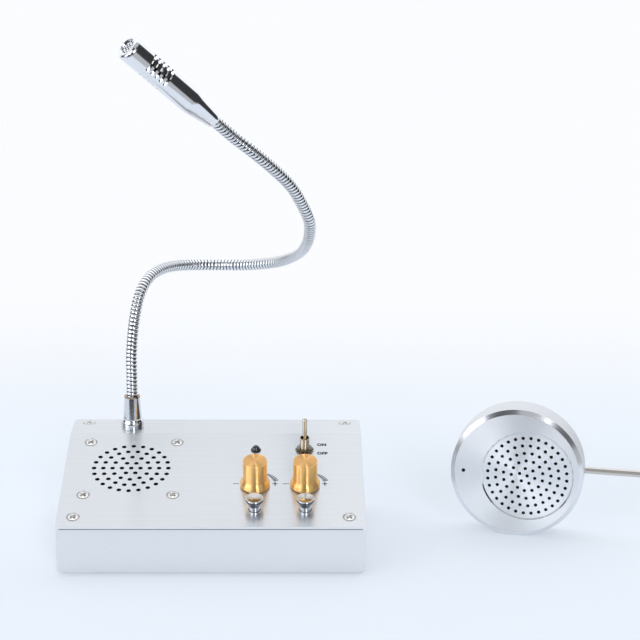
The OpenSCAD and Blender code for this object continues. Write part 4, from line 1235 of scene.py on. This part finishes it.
@dataclass
class Toggle(Builder):
    """The toggle's round-tipped lever and its threaded bush.

    The CAD bush has no thread. Its round seat is left out here, so that the bush's inner lip
    overlaps the lever's ball by up to 0.7 mm.
    """

    pivot: float = 5.0
    lean: float = math.radians(12.5)
    reach: float = 16.8
    root: float = 1.15
    tip: float = 1.55
    ball: float = 2.2
    bush: float = 3.0
    bore: float = 2.25
    low: float = -1.5
    high: float = 9.5
    thread: float = 0.5
    cut: float = 0.16
    segments: int = 64

    def build(self) -> None:
        """Turns the lever about its leaning axis, then the bush."""
        x = DESK.controls[1][1]
        seat = DESK.on_panel(x, DESK.switch_s, self.pivot)
        c, d = math.cos(self.lean), math.sin(self.lean)
        leaning = Frame(seat.origin, seat.x, c * seat.y - d * seat.z, c * seat.z + d * seat.y)
        span = (-math.pi / 2, math.acos(self.root / self.ball))
        ball = arc((0.0, 0.0), (self.ball, self.ball), span, 22)
        tip = arc((0.0, self.reach - self.tip), (self.tip, self.tip), QUARTER, 14)
        ball[0], tip[-1] = (0.0, -self.ball), (0.0, self.reach)
        finish, count = Finishes.TOGGLE_NICKEL, self.segments
        self.shop.turn("toggle_lever", ball + tip, leaning, finish, segments=count)
        at = DESK.on_panel(x, DESK.switch_s)
        self.shop.turn("toggle_bush", self._bush_profile(), at, finish, segments=count)

    def _bush_profile(self) -> Profile:
        """Draws the bush with its thread, a groove of bush - cut * |sin| every pitch.

        Returns:
            The closed profile.
        """
        r, low, high = self.bush, self.low, self.high
        threads = [
            (r - self.cut * abs(math.sin(math.pi * z / self.thread)), float(z))
            for z in np.arange(low + 0.2, high - 0.5, self.thread / 4)
        ]
        crown = [(r, high - 0.45), (r, high - 0.3), (2.85, high), (2.62, high)]
        inside = [(1.5, self.pivot), (self.bore, self.pivot - 0.2), (self.bore, low), (r, low)]
        return [(r, low)] + threads + crown + inside


@dataclass
class Lamp(Builder):
    """The status lamp: a smoked dome in a thin black collar.

    The CAD collar is wider and higher. The two leads of the CAD lens are left out here.
    """

    radius: float = 2.5
    high: float = 3.4
    deep: float = -4.5
    gap: float = 0.02
    shell: float = 2.95
    lip: float = 3.1
    collar_deep: float = -5.5
    segments: int = 64

    def build(self) -> None:
        """Turns the dome and its collar."""
        r, inner, deep = self.radius, self.radius + self.gap, self.collar_deep
        dome = arc((0.0, self.high - r), (r, r), QUARTER, 24)
        dome[-1] = (0.0, self.high)
        at, count = DESK.on_panel(DESK.controls[0][1], DESK.switch_s), self.segments
        lens = [(0.0, self.deep), (r, self.deep), *dome]
        self.shop.turn("lamp_lens", lens, at, Finishes.SMOKED_LENS, segments=count)
        wall = [(inner, deep), (self.shell, deep), (self.shell, 0.0), (self.lip, 0.0),
                (self.lip, 0.35), (2.9, 0.55), (r + 0.1, 0.6), (inner, 0.5),
                (inner, deep)]  # fmt: skip
        self.shop.turn("lamp_bezel", wall, at, Finishes.BLACK_PLASTIC, segments=count)


@dataclass
class Screws(Builder):
    """The plate's eight countersunk screws, with raised heads and a pressed cross in each.

    The CAD heads are flush, slightly wider, and have a straight cross.
    Their rims and the crosses' centres take a darker nickel as painted shade.
    """

    head: float = 3.72
    shank: float = 2.0
    length: float = 9.0
    cone: float = 1.95
    chamfer: float = 0.22
    rim: float = 0.02
    crown: float = 0.42
    arm: float = 2.3
    half_width: float = 0.7
    deep: float = 1.3
    end_fade: float = 1.5
    side_fade: float = 0.16
    segments: int = 96
    rings: int = 34
    hub: float = 0.1
    painted_shade_rim: int = 4
    painted_shade_centre: int = 26
    corner_x: tuple[float, float] = (9.5, 170.5)
    corner_s: float = 9.5
    corner_back: float = 7.0
    speaker_reach: float = 26.5

    def build(self) -> None:
        """Makes one mesh of the four corner screws and one of the four speaker screws."""
        corners = [DESK.on_panel(x, self.corner_s) for x in self.corner_x]
        corners += [DESK.on_band(x, self.corner_back) for x in self.corner_x]
        (x, s), reach = DESK.speaker, self.speaker_reach
        speaker = [DESK.on_panel(x + reach * a, s + reach * b) for a, b in SQUARE]
        for node, spots in (("corner_screws", corners), ("speaker_screws", speaker)):
            surface = Surface()
            for at in spots:
                self._screw(surface, at)
            finishes = [self.shop.shaders.get(f) for f in (Finishes.NICKEL, Finishes.NICKEL_PAINTED_SHADE)]
            self.shop.put(surface.build(f"{node}_pressed", finishes, 50), node, [node])

    def _depth(self, x: Array, y: Array) -> Array:
        """Depth of the cross: the deeper of two arms, each fading out at its end and sides.

        Args:
            x: First coordinate on the head.
            y: Second coordinate on the head.

        Returns:
            Depth at each point, in millimetres.
        """
        share = np.zeros_like(x)
        for turn in (math.pi / 4, -math.pi / 4):
            u = np.abs(x * math.cos(turn) + y * math.sin(turn))
            v = np.abs(y * math.cos(turn) - x * math.sin(turn))
            end = np.clip((self.arm - u) / self.end_fade, 0, 1)
            side = np.clip((self.half_width - v) / self.side_fade, 0, 1)
            share = np.maximum(share, end * side)
        return self.deep * share

    def _slot(self, strip: int) -> int:
        """Slot of a strip of the head: 1 for painted shade at rim and centre, 0 between them."""
        return int(strip < self.painted_shade_rim or strip > self.painted_shade_centre)

    def _screw(self, surface: Surface, at: Frame) -> None:
        """Adds one screw, whose head stands slightly proud of the plate.

        Args:
            surface: Surface that takes the screw.
            at: Frame on the plate, Z out of it.
        """
        flat = self.head - self.chamfer
        under = ring_rows(
            [(self.shank, -self.length), (self.shank, -self.cone), (self.head, -0.12),
             (flat, self.rim)], at, self.segments
        )  # fmt: skip
        start = surface.add_grid(under)
        hub = at.place(np.array([[0.0, 0.0, -self.length]]))
        surface.add_fan(hub, range(start, start + self.segments), 0, True)
        angles = np.arange(self.segments) / self.segments * math.tau
        rows = []
        for r in np.linspace(flat, self.hub, self.rings):
            x, y = r * np.cos(angles), r * np.sin(angles)
            skin = self.rim + self.crown * (1 - (r / flat) ** 2)
            rows.append(at.place(np.column_stack([x, y, skin - self._depth(x, y)])))
        top = surface.add_grid(np.array(rows), slot_of=self._slot)
        last = top + (len(rows) - 1) * self.segments
        centre = at.place(np.array([[0.0, 0.0, self.rim + self.crown - self.deep]]))
        surface.add_fan(centre, range(last, last + self.segments), 0, False)


@dataclass
class Microphone(Builder):
    """The microphone's shell: a tapered tail and a barrel with five rings of saw cuts."""

    radius: float = 7.5
    inner: float = 6.1
    tail: float = 4.5
    taper: float = 20.0
    cap: float = 5.0
    cells: int = 144
    rows: int = 5
    cuts: int = 3
    half_arc: float = 43.5
    cut_turn: float = 92.5
    cut_width: float = 1.6
    cut_pitch: float = 3.45
    first_cut: float = 14.7

    def _floor(self) -> float:
        """Distance of a cut's flat floor from the axis."""
        return self.radius * math.cos(math.radians(self.half_arc))

    def _cut_heights(self) -> list[tuple[float, float]]:
        """Lower and upper height of each ring of cuts, from the tail's side up."""
        middles = [MIC_LENGTH - self.first_cut - r * self.cut_pitch for r in range(self.rows)]
        return [(m - self.cut_width / 2, m + self.cut_width / 2) for m in reversed(middles)]

    def _depth_ring(self, height: float) -> Array:
        """Outer skin at a height inside a cut: the circle, cut flat on each of the cuts.

        The radius at an angle a from the middle of a cut is the smaller of the barrel's radius
        and floor / cos(a).

        Args:
            height: Height along the microphone.

        Returns:
            The ring's points, in metres.
        """
        angles = np.arange(self.cells) / self.cells * math.tau
        period = math.tau / self.cuts
        away = (angles - math.radians(self.cut_turn) + period / 2) % period - period / 2
        reach = np.minimum(self.radius, self._floor() / np.cos(away))
        radius = np.maximum(reach, self.inner)
        points = [np.cos(angles) * radius, np.sin(angles) * radius, np.full(self.cells, height)]
        return MIC.place(np.column_stack(points))

    def _open(self, row: int, column: int) -> bool:
        """Tells whether a cell of the barrel lies in the open middle of a cut.

        Args:
            row: Band of the barrel, odd for a ring of cuts.
            column: Cell round the barrel.

        Returns:
            Whether the cell is open.
        """
        if row % 2 == 0:
            return False
        period = 360 / self.cuts
        angle = (column + 0.5) * 360 / self.cells - self.cut_turn
        away = abs((angle + period / 2) % period - period / 2)
        return away < math.degrees(math.acos(self._floor() / self.inner))

    def build(self) -> None:
        """Makes the shell as one closed skin: outside, inside and the cuts' floors and walls."""
        surface = Surface()
        pairs = self._cut_heights()
        heights = [pairs[0][0] - 1.0] + [h for pair in pairs for h in pair] + [pairs[-1][1] + 1.0]
        for band, (low, high) in enumerate(zip(heights, heights[1:])):
            outer = ring_rows([(self.radius, low), (self.radius, high)], MIC, self.cells)
            inner = ring_rows([(self.inner, high), (self.inner, low)], MIC, self.cells)
            if band % 2 == 0:
                surface.add_grid(outer)
                surface.add_grid(inner)
            else:
                self._cut_band(surface, band, outer, inner, (low, high))
        for profile in self._end_profiles(heights[0], heights[-1]):
            surface.add_grid(ring_rows(profile, MIC, self.cells))
        material = self.shop.shaders.get(Finishes.MIC_CHROME, MIC)
        self.shop.put(surface.build("mic_shell_cut", [material], 40), "mic_shell", ["mic_shell"])

    def _end_profiles(self, low: float, high: float) -> tuple[Profile, Profile]:
        """Profiles of the shell below and above its rings of cuts.

        Args:
            low: Height of the lowest band.
            high: Height of the highest band.

        Returns:
            The tail's profile and the profile under the cap.
        """
        r, inner, tail, long = self.radius, self.inner, self.tail, self.taper
        taper = [(r - (r - tail) * t, long - long * t) for t in np.linspace(0, 1, 9)]
        below = (
            [(inner, low), (inner, long), (2.5, 9.0), (2.5, 5.2), (3.8, 5.2), (3.8, 0.0),
             (tail - 0.2, 0.0), (tail, 0.3)]
            + [(radius - 0.03, z) for radius, z in taper[-2:0:-1]]
            + [(r - 0.02, 20.6), (r, 22.0), (r, low)]
        )  # fmt: skip
        top = MIC_LENGTH - self.cap
        return below, [(r, high), (r, top), (inner, top), (inner, high)]

    def _cut_band(
        self,
        surface: Surface,
        band: int,
        outer: Array,
        inner: Array,
        heights: tuple[float, float],
    ) -> None:
        """Adds one ring of cuts: its floors, its open middles and its walls.

        Args:
            surface: Surface that takes the ring.
            band: Band of the barrel, an odd number.
            outer: Lower and upper ring of the uncut barrel.
            inner: Upper and lower ring of the bore.
            heights: Lower and upper height of the ring.
        """

        def closed(_: int, column: int) -> bool:
            """Tells whether a cell of this band is closed."""
            return not self._open(band, column)

        floor = np.array([self._depth_ring(height) for height in heights])
        surface.add_grid(floor, None, closed)
        surface.add_grid(inner, None, closed)
        surface.add_grid(np.array([outer[0], floor[0]]))
        surface.add_grid(np.array([floor[1], outer[1]]))
        for j in range(self.cells):
            here, before = self._open(band, j), self._open(band, j - 1)
            if here == before:
                continue
            start = surface.add_points(
                np.array([floor[0, j], floor[1, j], inner[0, j], inner[1, j]])
            )
            face = (start, start + 1, start + 2, start + 3)
            surface.add_face(face if before else face[::-1])


@dataclass
class WindowUnit(Builder):
    """The window unit's body: spun face, diamond-cut bevel and satin side."""

    face_depth: float = 0.05
    face_facing: float = 0.99
    bevel_depth: float = 2.0
    bevel_facing: float = 0.3
    bevel_from: float = 37.5
    seat_reach: float = 28.6

    def build(self) -> None:
        """Gives the CAD body's side, face and bevels their finishes; its shape stays."""
        mesh = frame["nodes"]["puck_body"].data
        mesh.materials.clear()
        for finish in (Finishes.PUCK_SIDE, Finishes.PUCK_FACE, Finishes.PUCK_BEVEL):
            mesh.materials.append(self.shop.shaders.get(finish, PUCK))
        for polygon in mesh.polygons:
            centre = np.array(polygon.center) / MM
            local, seat = centre - PUCK.origin, centre - PUCK_INSERT.origin
            r = math.hypot(local @ PUCK.x, local @ PUCK.y)
            seat_r = math.hypot(seat @ PUCK_INSERT.x, seat @ PUCK_INSERT.y)
            z, facing = float(local @ PUCK.z), float(np.array(polygon.normal) @ PUCK.z)
            on_ring = r > self.bevel_from or seat_r < self.seat_reach
            if z > -self.face_depth and facing > self.face_facing:
                polygon.material_index = 1
            elif facing > self.bevel_facing and z > -self.bevel_depth and on_ring:
                polygon.material_index = 2
        LOG.info("finishes of puck_body split")


@dataclass
class PanelPrint(Builder):
    """Black print on the panel: ON and OFF, minus and plus signs and the volume ticks."""

    lift: float = 0.02
    thick: float = 0.02
    bold: float = 0.2
    letter: float = 3.4
    spacing: float = 1.1
    words: tuple[tuple[str, float, float], ...] = (("ON", 155.4, 81.0), ("OFF", 155.6, 72.1))
    sign_up: float = 2.0
    signs: tuple[tuple[float, float, float], ...] = (
        (-11.3, 3.6, 0.5),
        (11.9, 3.2, 0.6),
        (11.9, 0.65, 3.8),
    )
    ticks: int = 9
    tick_r: float = 13.4
    tick_from: float = 66.0
    tick_step: float = 5.4
    tick_short: float = 1.3
    tick_growth: float = 0.24
    tick_width: float = 0.72

    def build(self) -> None:
        """Makes the print as thin raised ink."""
        ink = self.shop.shaders.get(Finishes.PRINT)
        surface = Surface()
        for _, x in DESK.controls:
            for offset, length, width in self.signs:
                self._bar(surface, (x + offset, DESK.knob_s + self.sign_up), length, width, 0.0)
            for i in range(self.ticks):
                angle = math.radians(self.tick_from - i * self.tick_step)
                away = (self.tick_r * math.cos(angle), self.tick_r * math.sin(angle))
                spot = (x + away[0], DESK.knob_s + away[1])
                length = self.tick_short + self.tick_growth * i
                self._bar(surface, spot, length, self.tick_width, angle)
        self.shop.put(surface.build("panel_signs", [ink]), "top_plate")
        for word, x, s in self.words:
            self._word(word, x, s, ink)

    def _bar(
        self,
        surface: Surface,
        spot: tuple[float, float],
        length: float,
        width: float,
        angle: float,
    ) -> None:
        """Adds a flat bar of ink.

        Args:
            surface: Surface that takes the bar.
            spot: Its middle on the panel, as x and s.
            length: Its length.
            width: Its width.
            angle: Its turn in radians.
        """
        at = DESK.on_panel(*spot, self.lift)
        c, d = math.cos(angle), math.sin(angle)
        corners = []
        for z in (0.0, self.thick):
            for a, b in SQUARE:
                u, v = a * length / 2, b * width / 2
                corners.append((u * c - v * d, u * d + v * c, z))
        surface.add_box(at.place(np.array(corners)))

    def _word(self, word: str, x: float, s: float, ink: Material) -> None:
        """Makes a word of raised ink.

        Args:
            word: The word.
            x: Its middle from the left.
            s: Its middle up the slope.
            ink: Its material.
        """
        curve = bpy.data.curves.new(f"print_{word}", "FONT")
        curve.body = word
        curve.size = self.letter * MM
        curve.align_x = curve.align_y = "CENTER"
        curve.extrude = self.thick * MM / 2
        curve.offset = self.bold * MM
        curve.space_character = self.spacing
        source = bpy.data.objects.new(f"source_{word}", curve)
        bpy.context.scene.collection.objects.link(source)
        bpy.context.view_layer.update()
        shape = source.evaluated_get(bpy.context.evaluated_depsgraph_get())
        mesh = bpy.data.meshes.new_from_object(shape)
        bpy.data.objects.remove(source)
        mesh.transform(DESK.on_panel(x, s, self.lift + self.thick / 2).matrix())
        mesh.materials.clear()
        mesh.materials.append(ink)
        obj = bpy.data.objects.new(f"print_{word.lower()}", mesh)
        bpy.context.scene.collection.objects.link(obj)
        self.shop.put(obj, "top_plate")


# ---------------------------------------------------------------- stage, light and camera


@dataclass(frozen=True)
class Patch:
    """A soft-edged patch of light or dark in the room, as seen from the object.

    Attributes:
        azimuth: Degrees from the camera's side, positive to the camera's right.
        elevation: Degrees over the horizon.
        half_width: Half of the patch's width in degrees.
        half_height: Half of the patch's height in degrees.
        soft: Width of the soft edge in degrees.
        level: Radiance inside the patch.
    """

    azimuth: float
    elevation: float
    half_width: float
    half_height: float
    soft: float
    level: float


@dataclass
class Studio:
    """White table, a room of light and dark patches, and the photograph's camera."""

    table_near: str = "#F0F7FF"
    table_far: str = "#FFFFFF"
    table_glow: float = 0.36
    table_shape: tuple[tuple[float, float], ...] = (
        (-1.6, -0.26), (0.78, -0.26), (0.78, 0.4), (3.0, 9.0), (-3.0, 9.0), (-1.6, 0.4)
    )  # fmt: skip
    fade: tuple[float, float] = (0.10, 0.62)
    room: str = "#F9FBFF"
    dim: float = 0.55
    patches: tuple[Patch, ...] = (
        Patch(180, 20, 86, 75, 12, 1.15),
        Patch(180, 78, 90, 18, 10, 1.6),
        Patch(-41, 45, 21, 9, 6, 0.08),
        Patch(39, 25, 9, 15, 6, 0.12),
        Patch(0, 16, 8, 26, 5, 0.05),
        Patch(84, 3, 28, 27, 4, 0.045),
        Patch(-98, 4, 15, 20, 5, 0.15),
        Patch(-52, 14, 25, 19, 5, 2.7),
        Patch(16, 18, 7, 22, 4, 6.0),
        Patch(-8, -22, 38, 18, 4, 0.07),
    )
    focal_px: float = 1854.57
    width_px: float = 640
    sensor_mm: float = 36.0
    pitch_yaw_roll: tuple[float, float, float] = (15.079, 1.126, 0.427)
    camera_at: tuple[float, float, float] = (0.0425, -1.0634, 0.4248)
    clip: tuple[float, float] = (0.05, 60.0)

    def build(self) -> None:
        """Makes the table, the room's light and the camera."""
        bpy.context.scene.view_settings.view_transform = "Standard"
        self._table()
        self._room()
        self._camera()

    def _table(self) -> None:
        """Makes a matt white table that pales far off.

        Camera, mirror and glass rays see it part lit from within, so that it shows near white
        and keeps its shadows; the light that it throws on the object is plain diffuse light.
        """
        mesh = bpy.data.meshes.new("table")
        corners = range(len(self.table_shape))
        mesh.from_pydata([(x, y, 0) for x, y in self.table_shape], [], [tuple(corners)])
        table = bpy.data.objects.new("table", mesh)
        bpy.context.scene.collection.objects.link(table)
        material = bpy.data.materials.new("white_table")
        material.use_nodes = True
        nodes = Nodes(material.node_tree)
        coords = nodes.add("TexCoord")
        axes = nodes.add("SeparateXYZ", Vector=coords.outputs["Object"])
        fade = nodes.add(
            "MapRange",
            Value=axes.outputs[1],
            From_Min=self.fade[0],
            From_Max=self.fade[1],
            interpolation_type="SMOOTHSTEP",
        )
        near, far = linear(self.table_near), linear(self.table_far)
        colour = nodes.mix_colours(fade.outputs[0], near, far)
        matt = nodes.add("BsdfDiffuse", Color=colour)
        glow = nodes.add("Emission", Color=colour, Strength=1.0)
        rays = nodes.add("LightPath").outputs
        seen = nodes.math("MAXIMUM", rays["Is Camera Ray"], rays["Is Glossy Ray"])
        seen = nodes.math("MAXIMUM", seen, rays["Is Transmission Ray"])
        share = nodes.math("MULTIPLY", seen, self.table_glow)
        nodes.add("OutputMaterial", Surface=nodes.mix_shaders(share, matt, glow))
        mesh.materials.append(material)
        LOG.info("stage table")

    def _room(self) -> None:
        """Lays the patches over one another in turn; the camera itself sees plain white."""
        world = bpy.data.worlds.new("room")
        bpy.context.scene.world = world
        world.use_nodes = True
        nodes = Nodes(world.node_tree)
        coords = nodes.add("TexCoord")
        axes = nodes.add("SeparateXYZ", Vector=coords.outputs["Generated"])
        back = nodes.math("MULTIPLY", axes.outputs[1], -1.0)
        azimuth = nodes.math("ARCTAN2", axes.outputs[0], back)
        elevation = nodes.math("ARCSINE", axes.outputs[2])
        level = nodes.math("ADD", self.dim, 0.0)
        for patch in self.patches:
            mask = nodes.math(
                "MULTIPLY",
                self._band(nodes, azimuth, patch.azimuth, patch.half_width, patch.soft, True),
                self._band(nodes, elevation, patch.elevation, patch.half_height, patch.soft),
            )
            rise = nodes.math("SUBTRACT", patch.level, level)
            level = nodes.math("ADD", level, nodes.math("MULTIPLY", mask, rise))
        room = nodes.add("Background", Color=linear(self.room), Strength=level)
        plain = nodes.add("Background", Color=linear(self.table_far), Strength=1.0)
        seen = nodes.add("LightPath").outputs["Is Camera Ray"]
        nodes.add("OutputWorld", Surface=nodes.mix_shaders(seen, room, plain))
        LOG.info("room of %d patches", len(self.patches))

    @staticmethod
    def _band(
        nodes: Nodes,
        angle: Socket,
        middle: float,
        half: float,
        soft: float,
        wraps: bool = False,
    ) -> Socket:
        """Masks a band of angles: 1 within half of the middle, 0 beyond the soft edge.

        Args:
            nodes: The world's nodes.
            angle: Angle in radians.
            middle: Middle of the band in degrees.
            half: Half width of the band in degrees.
            soft: Width of the soft edge in degrees.
            wraps: Whether the angle goes round, so that the shorter way counts.

        Returns:
            The mask.
        """
        away = nodes.math("SUBTRACT", angle, math.radians(middle))
        if wraps:
            away = nodes.math("WRAP", away, math.pi, -math.pi)
        mask = nodes.add(
            "MapRange",
            Value=nodes.math("ABSOLUTE", away),
            From_Min=math.radians(half + soft / 2),
            From_Max=math.radians(half - soft / 2),
            interpolation_type="SMOOTHSTEP",
        )
        return mask.outputs[0]

    def _camera(self) -> None:
        """Sets the camera solved from the photograph, for a square picture."""
        pitch, yaw, roll = (math.radians(degrees) for degrees in self.pitch_yaw_roll)
        forward = Vector(
            (math.sin(yaw) * math.cos(pitch), math.cos(yaw) * math.cos(pitch), -math.sin(pitch))
        )
        right = Vector((math.cos(yaw), -math.sin(yaw), 0.0))
        up = right.cross(forward)
        level = math.cos(roll) * right + math.sin(roll) * up
        upright = math.cos(roll) * up - math.sin(roll) * right
        data = bpy.data.cameras.new("camera")
        data.sensor_width = self.sensor_mm
        data.lens = self.focal_px / self.width_px * self.sensor_mm
        data.clip_start, data.clip_end = self.clip
        camera = bpy.data.objects.new("camera", data)
        bpy.context.scene.collection.objects.link(camera)
        rows = [(level[k], upright[k], -forward[k], self.camera_at[k]) for k in range(3)]
        camera.matrix_world = Matrix((*rows, (0.0, 0.0, 0.0, 1.0)))
        bpy.context.scene.camera = camera
        LOG.info("camera set")


def main() -> None:
    shop = Shop(Shaders())
    groups = [
        PlainNodes, Neck, Ferrule, Knobs, Buttons, Toggle, Lamp, Screws, Microphone, WindowUnit,
        PanelPrint,
    ]  # fmt: skip
    for group in groups:
        LOG.info("building %s", group.__name__)
        group(shop).build()
    Studio().build()


if __name__ == "__main__":
    main()
